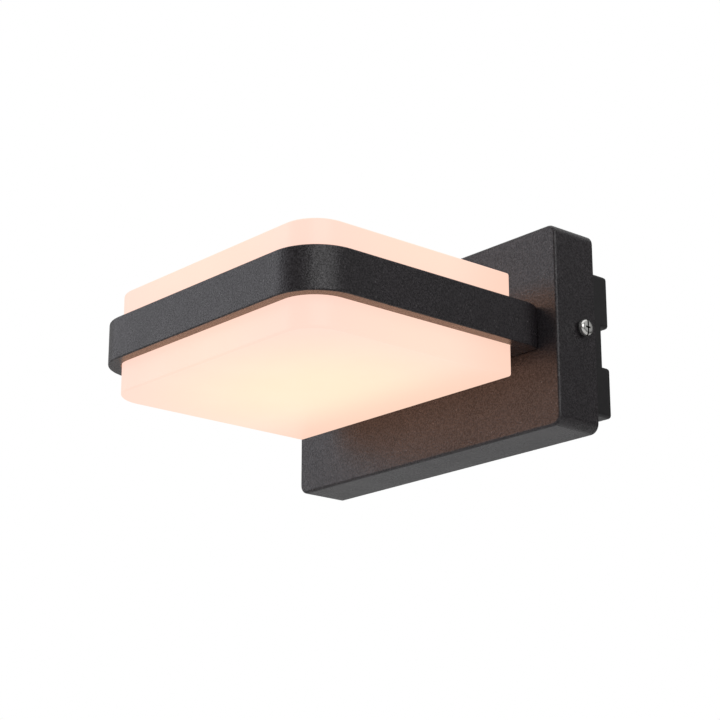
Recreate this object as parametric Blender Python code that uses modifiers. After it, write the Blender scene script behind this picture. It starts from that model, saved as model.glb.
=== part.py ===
"""Outdoor wall lantern: a flat two-sided light head on a box canopy and a wall bracket.

Local frame of every piece: X to the right seen from the front, -Y away from the wall, +Z up.
The world origin is the centre of the upper wall pad, in the plane of the wall.
"""

import math

import bmesh
import bpy
from mathutils import Matrix, Vector

MM = 0.001

# ---- driving dimensions -------------------------------------------------------------------
CANOPY_WIDTH = 191 * MM
CANOPY_HEIGHT = 100 * MM
CANOPY_DEPTH = 26.5 * MM
CANOPY_WALL = 3 * MM
CANOPY_CORNER_RADIUS = 5 * MM
CANOPY_EDGE_RADIUS = 1.5 * MM

WALL_STANDOFF = 10.5 * MM  # canopy's rear rim to the wall
PAD_TOP = 30.6 * MM  # heights on the bracket, from the canopy's centre
PAD_NOTCH_TOP = 4.0 * MM
PAD_NOTCH_BOTTOM = -15.8 * MM
PAD_BOTTOM = -41.0 * MM
PAD_NOTCH_DEPTH = 5 * MM
PAD_SIDE_INSET = 0.6 * MM
PAD_WALL = 2.8 * MM
PAD_EDGE_RADIUS = 1.8 * MM
PAD_RIB = 14 * MM
BRACKET_PLATE = 4.2 * MM
BRACKET_FIT = 0.5 * MM  # plate edge to the canopy's inside
TAPPED_DEPTH = 8 * MM  # of the screw holes in the bracket
EAR_THICKNESS = 4 * MM
EAR_HEIGHT = 20 * MM
EAR_REACH = 12 * MM
EAR_FIT = 0.4 * MM
WALL_SLOT_SPACING = 76 * MM
WALL_SLOT_LENGTH = 12 * MM
WALL_SLOT_WIDTH = 5 * MM
CABLE_HOLE_RADIUS = 8 * MM
SEAL_DEPTH = 2.6 * MM
SEAL_WIDTH = 2.2 * MM

HEAD_WIDTH = 170 * MM
HEAD_DEPTH = 143 * MM
HEAD_HEIGHT = 21.4 * MM
HEAD_CORNER_RADIUS = 23.9 * MM
HEAD_REAR_RADIUS = 15 * MM
HEAD_REAR_TURN = 8.5 * MM  # length of the rear corners' turn before the canopy cuts it
HEAD_EDGE_RADIUS = 0.8 * MM
RIM_FRONT = 6.0 * MM
RIM_SIDE = 6.6 * MM
REAR_WALL = 12.6 * MM
WEB_THICKNESS = 3 * MM

DIFFUSER_RISE = 15 * MM  # above and below the head's band
DIFFUSER_WALL = 2.5 * MM
DIFFUSER_REAR_RADIUS = 2 * MM
DIFFUSER_EDGE_RADIUS = 1.2 * MM
DIFFUSER_FIT = 0.4 * MM
DIFFUSER_SEAL_HEIGHT = 2.4 * MM
DIFFUSER_SEAL_WIDTH = 3.2 * MM
TAB_LENGTH = 14 * MM
TAB_HEIGHT = 2.4 * MM
TAB_REACH = 1.3 * MM
TAB_Y = (-112 * MM, -52 * MM)
TAB_X = 38 * MM

BOARD_WIDTH = 128 * MM
BOARD_DEPTH = 92 * MM
BOARD_THICKNESS = 1.6 * MM
LED_COLUMNS = 6
LED_ROWS = 4
LED_PITCH = 20 * MM
LED_SIZE = (2.8 * MM, 3.5 * MM, 0.8 * MM)

LOCK_HEAD_RADIUS = 4.0 * MM
LOCK_HEAD_HEIGHT = 2.5 * MM
LOCK_SHANK_LENGTH = 9.5 * MM
LOCK_DEPTH = 17.3 * MM  # behind the canopy's front
LOCK_WASHER_RADIUS = 3.7 * MM
LOCK_WASHER_HEIGHT = 0.8 * MM
M4_RADIUS = 2.0 * MM
M4_HEAD_RADIUS = 3.9 * MM
M3_RADIUS = 1.5 * MM
M3_HEAD_RADIUS = 2.8 * MM
HEAD_SCREW_X = (-66 * MM, -24 * MM, 24 * MM, 66 * MM)
HEAD_SCREW_GRIP = 8.5 * MM
BOARD_SCREW_INSET = 6 * MM
BOARD_SCREW_SHIFT = 9 * MM  # the lower board's screws stand this far inside the upper's
LEAD_TUNNEL_RADIUS = 4.5 * MM
LEAD_WINDOW_WIDTH = 16 * MM  # opening in the web, just in front of the rear wall
LEAD_WINDOW_MARGIN = 4.05 * MM  # web left between the boards and that opening
HEAD_SEAL_RADIUS = 10.2 * MM
HEAD_SEAL_BORE = 5.6 * MM
HEAD_SEAL_THICKNESS = 1.6 * MM

DRIVER_WIDTH = 92 * MM
DRIVER_HEIGHT = 28 * MM
DRIVER_DEPTH = 13 * MM
DRIVER_CENTRE_Z = 27 * MM
DRIVER_FLANGE = 9 * MM
DRIVER_FLANGE_THICKNESS = 2 * MM
BOSS_RADIUS = 4 * MM
BOSS_HEIGHT = 4 * MM
TERMINAL_SIZE = (34 * MM, 12 * MM, 15 * MM)
TERMINAL_Z = -31 * MM
TERMINAL_POLES = (-10 * MM, 0.0, 10 * MM)
TERMINAL_FIXING_X = (-5 * MM, 5 * MM)
TERMINAL_WAY_DEPTH = 7 * MM  # front of the block to the middle of its wire ways
EARTH_SCREW_X = 44 * MM
EARTH_TAG_THICKNESS = 1.2 * MM
EARTH_CRIMP_REACH = 9 * MM
LEAD_RADIUS = 1.1 * MM

GAP = 0.3 * MM  # between pieces that touch
HOLE_CLEARANCE = 0.3 * MM  # round a screw's shank
THROUGH = 1 * MM  # how far a cutter runs past the face it opens
SHADE_ANGLE = math.radians(35)

# ---- places worked out from the sizes -----------------------------------------------------
M4_HOLE = M4_RADIUS + HOLE_CLEARANCE
M3_HOLE = M3_RADIUS + HOLE_CLEARANCE
CANOPY_REAR_Y = -WALL_STANDOFF
CANOPY_FRONT_Y = CANOPY_REAR_Y - CANOPY_DEPTH
CANOPY_INNER_Y = CANOPY_FRONT_Y + CANOPY_WALL
PLATE_REAR_Y = CANOPY_REAR_Y + GAP
PLATE_FRONT_Y = PLATE_REAR_Y - BRACKET_PLATE
INNER_HALF_WIDTH = CANOPY_WIDTH / 2 - CANOPY_WALL
INNER_HALF_HEIGHT = CANOPY_HEIGHT / 2 - CANOPY_WALL
PAD_HALF_WIDTH = CANOPY_WIDTH / 2 - PAD_SIDE_INSET
PAD_CENTRE_Z = (PAD_TOP + PAD_NOTCH_TOP) / 2
LOWER_PAD_Z = (PAD_NOTCH_BOTTOM + PAD_BOTTOM) / 2
CHANNEL_Z = (PAD_NOTCH_TOP + PAD_NOTCH_BOTTOM) / 2
LOCK_Y = CANOPY_FRONT_Y + LOCK_DEPTH
HEAD_REAR_Y = -GAP  # in the head's own frame, whose Y is 0 on the canopy's face
HEAD_FRONT_Y = -HEAD_DEPTH
CAVITY_REAR_Y = HEAD_REAR_Y - REAR_WALL
CAVITY_FRONT_Y = HEAD_FRONT_Y + RIM_FRONT
CAVITY_HALF_WIDTH = HEAD_WIDTH / 2 - RIM_SIDE
CAVITY_RADIUS = HEAD_CORNER_RADIUS - RIM_FRONT
CAVITY_CENTRE_Y = (CAVITY_REAR_Y + CAVITY_FRONT_Y) / 2
WEB_TOP = WEB_THICKNESS / 2
SEAL_TOP = WEB_TOP + GAP + DIFFUSER_SEAL_HEIGHT
DIFFUSER_BASE = SEAL_TOP + GAP
DIFFUSER_TOP = HEAD_HEIGHT / 2 + DIFFUSER_RISE
BOARD_BASE = WEB_TOP + GAP
BOARD_REAR_Y = CAVITY_CENTRE_Y + BOARD_DEPTH / 2
BOARD_TOP = BOARD_BASE + BOARD_THICKNESS
BOSS_TOP_Y = CANOPY_INNER_Y + BOSS_HEIGHT

ALONG = {
    "+X": Matrix.Rotation(math.radians(90), 4, "Y"),
    "-X": Matrix.Rotation(math.radians(-90), 4, "Y"),
    "+Y": Matrix.Rotation(math.radians(-90), 4, "X"),
    "-Y": Matrix.Rotation(math.radians(90), 4, "X"),
    "+Z": Matrix.Identity(4),
    "-Z": Matrix.Rotation(math.radians(180), 4, "X"),
}


# ---- scene set-up --------------------------------------------------------------------------
def clear_scene():
    for item in list(bpy.data.objects):
        bpy.data.objects.remove(item, do_unlink=True)


def collection(name):
    made = bpy.data.collections.new(name)
    bpy.context.scene.collection.children.link(made)
    return made


clear_scene()
PARTS = collection("wall_lantern")
CUTTERS = collection("cutters")


def empty(name, place, parent=None):
    made = bpy.data.objects.new(name, None)
    made.empty_display_size = 0.02
    made.location = place
    made.parent = parent
    PARTS.objects.link(made)
    return made


LANTERN = empty("lantern_frame", (0, 0, -PAD_CENTRE_Z))
HEAD = empty("head_frame_origin", (0, CANOPY_FRONT_Y, 0), LANTERN)


def material(name, color, roughness, metallic=0.0, emission=0.0):
    made = bpy.data.materials.new(name)
    made.use_nodes = True
    shader = made.node_tree.nodes["Principled BSDF"]
    shader.inputs["Base Color"].default_value = (*color, 1)
    shader.inputs["Roughness"].default_value = roughness
    shader.inputs["Metallic"].default_value = metallic
    shader.inputs["Emission Color"].default_value = (*color, 1)
    shader.inputs["Emission Strength"].default_value = emission
    made.diffuse_color = (*color, 1)
    return made


# ---- shapes --------------------------------------------------------------------------------
def add(name, mesh, parent, matrix=None):
    """An object in the parts collection that holds the mesh, placed in its parent's frame."""
    mesh.shade_smooth()
    mesh.set_sharp_from_angle(angle=SHADE_ANGLE)
    made = bpy.data.objects.new(name, mesh)
    made.matrix_local = matrix or Matrix.Identity(4)
    made.parent = parent
    PARTS.objects.link(made)
    return made


def mesh_from(bm, name):
    mesh = bpy.data.meshes.new(name)
    bm.to_mesh(mesh)
    bm.free()
    return mesh


def box(name, low, high, parent=LANTERN):
    """A block between two corners."""
    low, high = Vector(low), Vector(high)
    bm = bmesh.new()
    bmesh.ops.create_cube(bm, size=1)
    bmesh.ops.scale(bm, vec=high - low, verts=bm.verts)
    bmesh.ops.translate(bm, vec=(low + high) / 2, verts=bm.verts)
    return add(name, mesh_from(bm, name), parent)


def cylinder(name, radius, height, place, direction, parent=LANTERN, sides=24):
    """A round bar that starts at place and runs along direction."""
    bm = bmesh.new()
    bmesh.ops.create_cone(bm, cap_ends=True, segments=sides, radius1=radius, radius2=radius, depth=height)
    bmesh.ops.translate(bm, vec=(0, 0, height / 2), verts=bm.verts)
    return add(name, mesh_from(bm, name), parent, Matrix.Translation(place) @ ALONG[direction])


def arc(centre, radius, start, end, steps):
    """Points on an arc, angles in degrees."""
    angles = (math.radians(start + (end - start) * i / steps) for i in range(steps + 1))
    return [(centre[0] + radius * math.cos(a), centre[1] + radius * math.sin(a)) for a in angles]


def rounded_outline(x0, x1, y0, y1, front_radius, rear_radius, steps=6):
    """A rectangle, anticlockwise, whose corners at y0 and at y1 have their own radii."""
    f, r = front_radius, rear_radius
    return (
        arc((x0 + f, y0 + f), f, 180, 270, steps)
        + arc((x1 - f, y0 + f), f, 270, 360, steps)
        + arc((x1 - r, y1 - r), r, 0, 90, steps)
        + arc((x0 + r, y1 - r), r, 90, 180, steps)
    )


def slab(name, outline, low, high, parent=LANTERN, upright=False):
    """A flat outline with thickness: along Z, or along Y when it stands upright in XZ."""
    curve = bpy.data.curves.new(name, "CURVE")
    curve.dimensions = "2D"
    curve.fill_mode = "BOTH"
    curve.extrude = (high - low) / 2
    spline = curve.splines.new("POLY")
    spline.points.add(len(outline) - 1)
    for point, (x, y) in zip(spline.points, outline):
        point.co = (x, y, 0, 1)
    spline.use_cyclic_u = True
    guide = bpy.data.objects.new(name + "_outline", curve)
    bpy.context.scene.collection.objects.link(guide)
    graph = bpy.context.evaluated_depsgraph_get()
    mesh = bpy.data.meshes.new_from_object(guide.evaluated_get(graph))
    bpy.data.objects.remove(guide, do_unlink=True)
    bm = bmesh.new()
    bm.from_mesh(mesh)
    bmesh.ops.remove_doubles(bm, verts=bm.verts, dist=1e-6)
    bmesh.ops.translate(bm, vec=(0, 0, (low + high) / 2), verts=bm.verts)
    if upright:
        # local (x, y, z) becomes (x, z, y), and the mirror image is turned outside out again
        bmesh.ops.transform(bm, matrix=Matrix(((1, 0, 0), (0, 0, 1), (0, 1, 0))).to_4x4(), verts=bm.verts)
        bmesh.ops.reverse_faces(bm, faces=bm.faces)
    bm.to_mesh(mesh)
    bm.free()
    return add(name, mesh, parent)


def turned(name, profile, matrix, parent, steps=16):
    """A profile in XZ, listed from top to bottom, spun about Z."""
    bm = bmesh.new()
    points = [bm.verts.new((x, 0, z)) for x, z in profile]
    for a, b in zip(points, points[1:]):
        bm.edges.new((a, b))
    made = add(name, mesh_from(bm, name), parent, matrix)
    spin = made.modifiers.new("turn", "SCREW")
    spin.axis = "Z"
    spin.angle = math.tau
    spin.steps = steps
    spin.render_steps = steps
    spin.use_merge_vertices = True
    spin.merge_threshold = 1e-5
    return made


def boolean(target, other, operation):
    """Adds the boolean to target and puts the other shape away with the cutters."""
    change = target.modifiers.new(operation.lower(), "BOOLEAN")
    change.operation = operation
    change.solver = "EXACT"
    change.object = other
    if other.name in PARTS.objects:
        PARTS.objects.unlink(other)
        CUTTERS.objects.link(other)
    other.hide_render = True
    other.display_type = "WIRE"


def cut(target, *cutters):
    for cutter in cutters:
        boolean(target, cutter, "DIFFERENCE")


def join(target, *others):
    for other in others:
        boolean(target, other, "UNION")


def bevel(target, width, segments=2, angle=50):
    rounding = target.modifiers.new("edges", "BEVEL")
    rounding.width = width
    rounding.segments = segments
    rounding.limit_method = "ANGLE"
    rounding.angle_limit = math.radians(angle)


def bevel_rim(target, width, on_rim, segments=2):
    """Rounds the sharp edges whose two ends on_rim accepts, and no others."""
    bm = bmesh.new()
    bm.from_mesh(target.data)
    weights = bm.edges.layers.float.new("bevel_weight_edge")
    for edge in bm.edges:
        sharp = edge.calc_face_angle(0) > math.radians(60)
        edge[weights] = 1.0 if sharp and all(on_rim(vert.co) for vert in edge.verts) else 0.0
    bm.to_mesh(target.data)
    bm.free()
    rounding = target.modifiers.new("rim", "BEVEL")
    rounding.width = width
    rounding.segments = segments
    rounding.limit_method = "WEIGHT"


def finish(target, look):
    target.data.materials.clear()
    target.data.materials.append(look)
    return target


def pan_screw(name, place, direction, shank, head_radius, head_height, length, look, parent=LANTERN,
              cross=True, sides=16):
    """A pan-head screw whose head's bearing face is at place and whose head points along direction."""
    tip = shank * 0.3
    profile = [
        (0, head_height),
        (head_radius * 0.62, head_height * 0.94),
        (head_radius, head_height * 0.45),
        (head_radius, 0),
        (shank, 0),
        (shank, tip - length),
        (shank - tip, -length),
        (0, -length),
    ]
    matrix = Matrix.Translation(place) @ ALONG[direction]
    made = turned(name, profile, matrix, parent, sides)
    recess = head_height * 0.55
    blades = [(head_radius * 0.6, head_radius * 0.1)]
    if cross:
        blades.append((head_radius * 0.1, head_radius * 0.6))
    for index, (across, thick) in enumerate(blades):
        bm = bmesh.new()
        bmesh.ops.create_cube(bm, size=1)
        bmesh.ops.scale(bm, vec=(across * 2, thick * 2, recess * 2), verts=bm.verts)
        bmesh.ops.translate(bm, vec=(0, 0, head_height), verts=bm.verts)
        cut(made, add(f"{name}_recess_{index}", mesh_from(bm, name), parent, matrix))
    return finish(made, look)


def smooth_route(points, per_span=3):
    """Points along a Catmull-Rom curve through the given ones."""
    points = [Vector(p) for p in points]
    padded = [2 * points[0] - points[1]] + points + [2 * points[-1] - points[-2]]
    route = []
    for i in range(1, len(padded) - 2):
        p0, p1, p2, p3 = padded[i - 1:i + 3]
        for step in range(per_span):
            t = step / per_span
            route.append(
                0.5 * (2 * p1 + (p2 - p0) * t + (2 * p0 - 5 * p1 + 4 * p2 - p3) * t * t
                       + (3 * p1 - p0 - 3 * p2 + p3) * t ** 3)
            )
    return route + [points[-1]]


def lead(name, points, look, parent=LANTERN, radius=LEAD_RADIUS):
    """An insulated lead along a smooth route, held inside the lantern at both ends."""
    curve = bpy.data.curves.new(name, "CURVE")
    curve.dimensions = "3D"
    curve.bevel_depth = radius
    curve.bevel_resolution = 2
    curve.use_fill_caps = True
    route = smooth_route(points)
    spline = curve.splines.new("POLY")
    spline.points.add(len(route) - 1)
    for point, place in zip(spline.points, route):
        point.co = (*place, 1)
    made = bpy.data.objects.new(name, curve)
    made.parent = parent
    PARTS.objects.link(made)
    curve.materials.append(look)
    return made


# ---- finishes ------------------------------------------------------------------------------
POWDER_COAT = material("charcoal_powder_coat", (0.045, 0.043, 0.045), 0.55)
BLACK_PLASTIC = material("black_moulding", (0.02, 0.02, 0.021), 0.6)
OPAL = material("opal_diffuser", (1.0, 0.84, 0.72), 0.35, emission=0.8)
STAINLESS = material("stainless_steel", (0.62, 0.6, 0.58), 0.25, 1.0)
ZINC = material("zinc_plated_steel", (0.55, 0.56, 0.58), 0.35, 1.0)
BRASS = material("brass", (0.72, 0.53, 0.25), 0.3, 1.0)
SILICONE = material("grey_silicone", (0.45, 0.45, 0.44), 0.7)
EPDM = material("black_rubber", (0.025, 0.025, 0.025), 0.8)
BOARD_WHITE = material("white_board", (0.85, 0.86, 0.84), 0.4)
DRIVER_CASE = material("white_driver_case", (0.8, 0.8, 0.78), 0.5)
NYLON = material("natural_nylon", (0.78, 0.76, 0.68), 0.45)
LEAD_LOOKS = {
    "live": material("brown_lead", (0.16, 0.07, 0.035), 0.5),
    "neutral": material("blue_lead", (0.03, 0.09, 0.35), 0.5),
    "earth": material("green_yellow_lead", (0.2, 0.4, 0.04), 0.5),
    "positive": material("red_lead", (0.5, 0.02, 0.02), 0.5),
    "negative": material("black_lead", (0.02, 0.02, 0.02), 0.5),
}


# ---- wall side -----------------------------------------------------------------------------
def wall_slot(name, x, z):
    """The shape of one horizontal wall-screw slot, right through the bracket."""
    half, radius = WALL_SLOT_LENGTH / 2 - WALL_SLOT_WIDTH / 2, WALL_SLOT_WIDTH / 2
    outline = arc((x + half, z), radius, -90, 90, 6) + arc((x - half, z), radius, 90, 270, 6)
    return slab(name, outline, PLATE_FRONT_Y - THROUGH, THROUGH, upright=True)


def pad_pocket(name, x0, x1, z0, z1):
    """A core pocket in the back of a wall pad."""
    low, high = (min(x0, x1), PLATE_REAR_Y + PAD_WALL, z0), (max(x0, x1), THROUGH, z1)
    return box(name, low, high)


def wall_bracket():
    """The bracket: two wall pads with a cable channel between, a plate that closes the canopy, two ears."""
    pads = box("wall_bracket", (-PAD_HALF_WIDTH, PLATE_REAR_Y, PAD_BOTTOM), (PAD_HALF_WIDTH, 0, PAD_TOP))
    bevel(pads, PAD_EDGE_RADIUS, 3)
    channel_low = (-CANOPY_WIDTH, -PAD_NOTCH_DEPTH, PAD_NOTCH_BOTTOM)
    cut(pads, box("cable_channel", channel_low, (CANOPY_WIDTH, THROUGH, PAD_NOTCH_TOP)))

    plate_x, plate_z = INNER_HALF_WIDTH - BRACKET_FIT, INNER_HALF_HEIGHT - BRACKET_FIT
    outline = rounded_outline(-plate_x, plate_x, -plate_z, plate_z, PAD_EDGE_RADIUS, PAD_EDGE_RADIUS, 3)
    overlap = PAD_WALL / 2
    join(pads, slab("bracket_plate", outline, PLATE_FRONT_Y, PLATE_REAR_Y + overlap, upright=True))

    groove_x, groove_z = plate_x - SEAL_DEPTH, plate_z - SEAL_DEPTH
    groove_y = PLATE_FRONT_Y + (BRACKET_PLATE - SEAL_WIDTH) / 2
    ring = box("seal_groove", (-CANOPY_WIDTH, groove_y, -CANOPY_HEIGHT),
               (CANOPY_WIDTH, groove_y + SEAL_WIDTH, CANOPY_HEIGHT))
    cut(ring, box("seal_groove_core", (-groove_x, groove_y - THROUGH, -groove_z),
                  (groove_x, groove_y + SEAL_WIDTH + THROUGH, groove_z)))
    cut(pads, ring)

    ear_x1 = INNER_HALF_WIDTH - EAR_FIT
    ear_x0 = ear_x1 - EAR_THICKNESS
    for side, sign in (("left", -1), ("right", 1)):
        xs = sorted((sign * ear_x0, sign * ear_x1))
        ear = box(f"ear_{side}", (xs[0], PLATE_FRONT_Y - EAR_REACH, -EAR_HEIGHT / 2),
                  (xs[1], PLATE_FRONT_Y + THROUGH, EAR_HEIGHT / 2))
        join(pads, ear)
        start = (sign * (ear_x0 - THROUGH), LOCK_Y, 0)
        thread = cylinder(f"ear_thread_{side}", M4_HOLE, EAR_THICKNESS + 2 * THROUGH,
                          start, "+X" if sign > 0 else "-X", sides=16)
        cut(pads, thread)
        slot_x = sign * WALL_SLOT_SPACING / 2
        cut(pads, wall_slot(f"upper_slot_{side}", slot_x, PAD_CENTRE_Z))
        cut(pads, wall_slot(f"lower_slot_{side}", slot_x, LOWER_PAD_Z))
        inner = (PAD_RIB / 2, slot_x * sign - WALL_SLOT_LENGTH)
        outer = (slot_x * sign + WALL_SLOT_LENGTH, PAD_HALF_WIDTH - PAD_WALL)
        for place, (x0, x1) in (("inner", inner), ("outer", outer)):
            upper = (PAD_NOTCH_TOP + PAD_WALL, PAD_TOP - PAD_WALL)
            lower = (PAD_BOTTOM + PAD_WALL, PAD_NOTCH_BOTTOM - PAD_WALL)
            cut(pads, pad_pocket(f"upper_{place}_pocket_{side}", sign * x0, sign * x1, *upper))
            cut(pads, pad_pocket(f"lower_{place}_pocket_{side}", sign * x0, sign * x1, *lower))
    cut(pads, cylinder("cable_hole", CABLE_HOLE_RADIUS, WALL_STANDOFF + BRACKET_PLATE + THROUGH,
                       (0, THROUGH, CHANNEL_Z), "-Y"))
    for index, x in enumerate(TERMINAL_FIXING_X):
        cut(pads, cylinder(f"terminal_screw_hole_{index}", M3_HOLE, TAPPED_DEPTH + THROUGH,
                           (x, PLATE_FRONT_Y - THROUGH, TERMINAL_Z), "+Y", sides=12))
    cut(pads, cylinder("earth_screw_hole", M4_HOLE, TAPPED_DEPTH + THROUGH,
                       (EARTH_SCREW_X, PLATE_FRONT_Y - THROUGH, TERMINAL_Z), "+Y", sides=16))
    return finish(pads, BLACK_PLASTIC)


def perimeter_seal():
    """The rubber ring in the edge of the bracket's plate, against the inside of the canopy."""
    outer_x, outer_z = INNER_HALF_WIDTH - GAP, INNER_HALF_HEIGHT - GAP
    plate_x, plate_z = INNER_HALF_WIDTH - BRACKET_FIT, INNER_HALF_HEIGHT - BRACKET_FIT
    inner_x, inner_z = plate_x - SEAL_DEPTH + GAP, plate_z - SEAL_DEPTH + GAP
    y0 = PLATE_FRONT_Y + (BRACKET_PLATE - SEAL_WIDTH) / 2 + GAP
    y1 = y0 + SEAL_WIDTH - 2 * GAP
    radius = CANOPY_CORNER_RADIUS - CANOPY_WALL
    seal = slab("perimeter_seal", rounded_outline(-outer_x, outer_x, -outer_z, outer_z, radius, radius, 3),
                y0, y1, upright=True)
    cut(seal, box("perimeter_seal_core", (-inner_x, y0 - THROUGH, -inner_z),
                  (inner_x, y1 + THROUGH, inner_z)))
    return finish(seal, EPDM)


def entry_grommet():
    """The rubber grommet in the cable hole, with the bore that the house cable passes through."""
    bore, lip, neck = 4 * MM, CABLE_HOLE_RADIUS + 2.5 * MM, CABLE_HOLE_RADIUS - GAP
    front, flange = PLATE_FRONT_Y - GAP, 2 * MM
    rear = -PAD_NOTCH_DEPTH
    length = rear - front
    profile = [
        (bore, flange),
        (lip, flange),
        (lip, 0),
        (neck, 0),
        (neck, GAP - length),
        (bore, GAP - length),
        (bore, flange),
    ]
    matrix = Matrix.Translation((0, front, CHANNEL_Z)) @ ALONG["-Y"]
    return finish(turned("entry_grommet", profile, matrix, LANTERN, 24), EPDM)


def terminal_block():
    """The pillar block on the bracket, its fixing screws and its clamp screws."""
    width, depth, height = TERMINAL_SIZE
    rear = PLATE_FRONT_Y - GAP
    front = rear - depth
    bottom = TERMINAL_Z - height / 2
    block = box("terminal_block", (-width / 2, front, bottom), (width / 2, rear, bottom + height))
    for index, x in enumerate(TERMINAL_POLES):
        way = (x, front + TERMINAL_WAY_DEPTH, bottom - THROUGH)
        cut(block, cylinder(f"wire_way_{index}", LEAD_RADIUS + 2 * GAP, height + 2 * THROUGH,
                            way, "+Z", sides=10))
        clamp = (x, front - THROUGH, TERMINAL_Z)
        clamp_length = TERMINAL_WAY_DEPTH - LEAD_RADIUS - 2 * GAP
        cut(block, cylinder(f"clamp_way_{index}", M3_HOLE, TERMINAL_WAY_DEPTH + THROUGH,
                            clamp, "+Y", sides=12))
        profile = [(0, 0), (M3_RADIUS, 0), (M3_RADIUS, -clamp_length), (0, -clamp_length)]
        place = Matrix.Translation((x, front + GAP, TERMINAL_Z)) @ ALONG["-Y"]
        screw = turned(f"clamp_screw_{index + 1}", profile, place, LANTERN, 12)
        reach = M3_RADIUS * 1.2
        cut(screw, box(f"clamp_slot_{index}", (x - reach, front - THROUGH, TERMINAL_Z - GAP),
                       (x + reach, front + 4 * GAP, TERMINAL_Z + GAP)))
        finish(screw, BRASS)
    for index, x in enumerate(TERMINAL_FIXING_X):
        seat = front + depth / 2
        cut(block, cylinder(f"fixing_head_way_{index}", M3_HEAD_RADIUS + HOLE_CLEARANCE, depth / 2 + THROUGH,
                            (x, front - THROUGH, TERMINAL_Z), "+Y", sides=12))
        cut(block, cylinder(f"fixing_way_{index}", M3_HOLE, depth,
                            (x, seat - THROUGH, TERMINAL_Z), "+Y", sides=12))
        length = depth / 2 + BRACKET_PLATE
        pan_screw(f"terminal_screw_{index + 1}", (x, seat - GAP, TERMINAL_Z), "-Y", M3_RADIUS,
                  M3_HEAD_RADIUS, 2 * MM, length, ZINC, cross=False, sides=10)
    return finish(block, NYLON)


def earth_screw():
    """The screw that holds the earth lead's tag to the bracket."""
    place = (EARTH_SCREW_X, PLATE_FRONT_Y - EARTH_TAG_THICKNESS - 2 * GAP, TERMINAL_Z)
    pan_screw("earth_screw", place, "-Y", M4_RADIUS, M4_HEAD_RADIUS, 2.6 * MM, 8 * MM, BRASS)
    tag_start = (EARTH_SCREW_X, PLATE_FRONT_Y - GAP, TERMINAL_Z)
    tag = cylinder("earth_tag", M4_HEAD_RADIUS, EARTH_TAG_THICKNESS, tag_start, "-Y", sides=20)
    crimp_y = tag_start[1]
    crimp_low = (EARTH_SCREW_X - EARTH_CRIMP_REACH, crimp_y - EARTH_TAG_THICKNESS, TERMINAL_Z - 1.5 * MM)
    join(tag, box("earth_tag_crimp", crimp_low, (EARTH_SCREW_X - 2.5 * MM, crimp_y, TERMINAL_Z + 1.5 * MM)))
    cut(tag, cylinder("earth_tag_hole", M4_HOLE, 3 * THROUGH,
                      (EARTH_SCREW_X, PLATE_FRONT_Y + THROUGH, TERMINAL_Z), "-Y", sides=16))
    finish(tag, ZINC)


# ---- canopy --------------------------------------------------------------------------------
def canopy():
    """The cast box that covers the bracket, open to the wall."""
    half_x, half_z, radius = CANOPY_WIDTH / 2, CANOPY_HEIGHT / 2, CANOPY_CORNER_RADIUS
    outline = rounded_outline(-half_x, half_x, -half_z, half_z, radius, radius, 5)
    shell = slab("canopy", outline, CANOPY_FRONT_Y, CANOPY_REAR_Y, upright=True)
    bevel_rim(shell, CANOPY_EDGE_RADIUS, lambda co: co.y < CANOPY_FRONT_Y + GAP)

    inner = radius - CANOPY_WALL
    outline = rounded_outline(-INNER_HALF_WIDTH, INNER_HALF_WIDTH, -INNER_HALF_HEIGHT, INNER_HALF_HEIGHT,
                              inner, inner, 3)
    cut(shell, slab("canopy_hollow", outline, CANOPY_INNER_Y, CANOPY_REAR_Y + THROUGH, upright=True))
    for index, x in enumerate(driver_screw_places()):
        place = (x, CANOPY_INNER_Y - THROUGH, DRIVER_CENTRE_Z)
        join(shell, cylinder(f"driver_boss_{index}", BOSS_RADIUS, BOSS_HEIGHT + THROUGH,
                             place, "+Y", sides=16))
        cut(shell, cylinder(f"driver_boss_hole_{index}", M3_HOLE, BOSS_HEIGHT + THROUGH,
                            (x, CANOPY_INNER_Y, DRIVER_CENTRE_Z), "+Y", sides=12))
    for index, x in enumerate(HEAD_SCREW_X):
        cut(shell, cylinder(f"head_screw_hole_{index}", M4_HOLE, CANOPY_WALL + 2 * THROUGH,
                            (x, CANOPY_FRONT_Y - THROUGH, 0), "+Y", sides=16))
    cut(shell, cylinder("canopy_lead_hole", LEAD_TUNNEL_RADIUS, CANOPY_WALL + 2 * THROUGH,
                        (0, CANOPY_FRONT_Y - THROUGH, 0), "+Y", sides=20))
    for sign, direction in ((-1, "-X"), (1, "+X")):
        start = (sign * (INNER_HALF_WIDTH - THROUGH), LOCK_Y, 0)
        cut(shell, cylinder(f"lock_hole{direction}", M4_HOLE, CANOPY_WALL + 2 * THROUGH,
                            start, direction, sides=16))
    return finish(shell, POWDER_COAT)


def lock_screws():
    """The stainless screw on each side of the canopy and the sealing washer under its head."""
    for side, sign, direction in (("left", -1, "-X"), ("right", 1, "+X")):
        face = CANOPY_WIDTH / 2 + GAP
        place = Matrix.Translation((sign * face, LOCK_Y, 0)) @ ALONG[direction]
        bore = M4_HOLE
        profile = [
            (bore, LOCK_WASHER_HEIGHT),
            (LOCK_WASHER_RADIUS, LOCK_WASHER_HEIGHT),
            (LOCK_WASHER_RADIUS, 0),
            (bore, 0),
            (bore, LOCK_WASHER_HEIGHT),
        ]
        finish(turned(f"lock_washer_{side}", profile, place, LANTERN, 20), EPDM)
        seat = (sign * (face + LOCK_WASHER_HEIGHT + GAP), LOCK_Y, 0)
        pan_screw(f"lock_screw_{side}", seat, direction, M4_RADIUS, LOCK_HEAD_RADIUS, LOCK_HEAD_HEIGHT,
                  LOCK_SHANK_LENGTH, STAINLESS, sides=24)


def driver_screw_places():
    """The X of the screws at the driver's two ends."""
    reach = DRIVER_WIDTH / 2 + DRIVER_FLANGE / 2
    return (-reach, reach)


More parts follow.
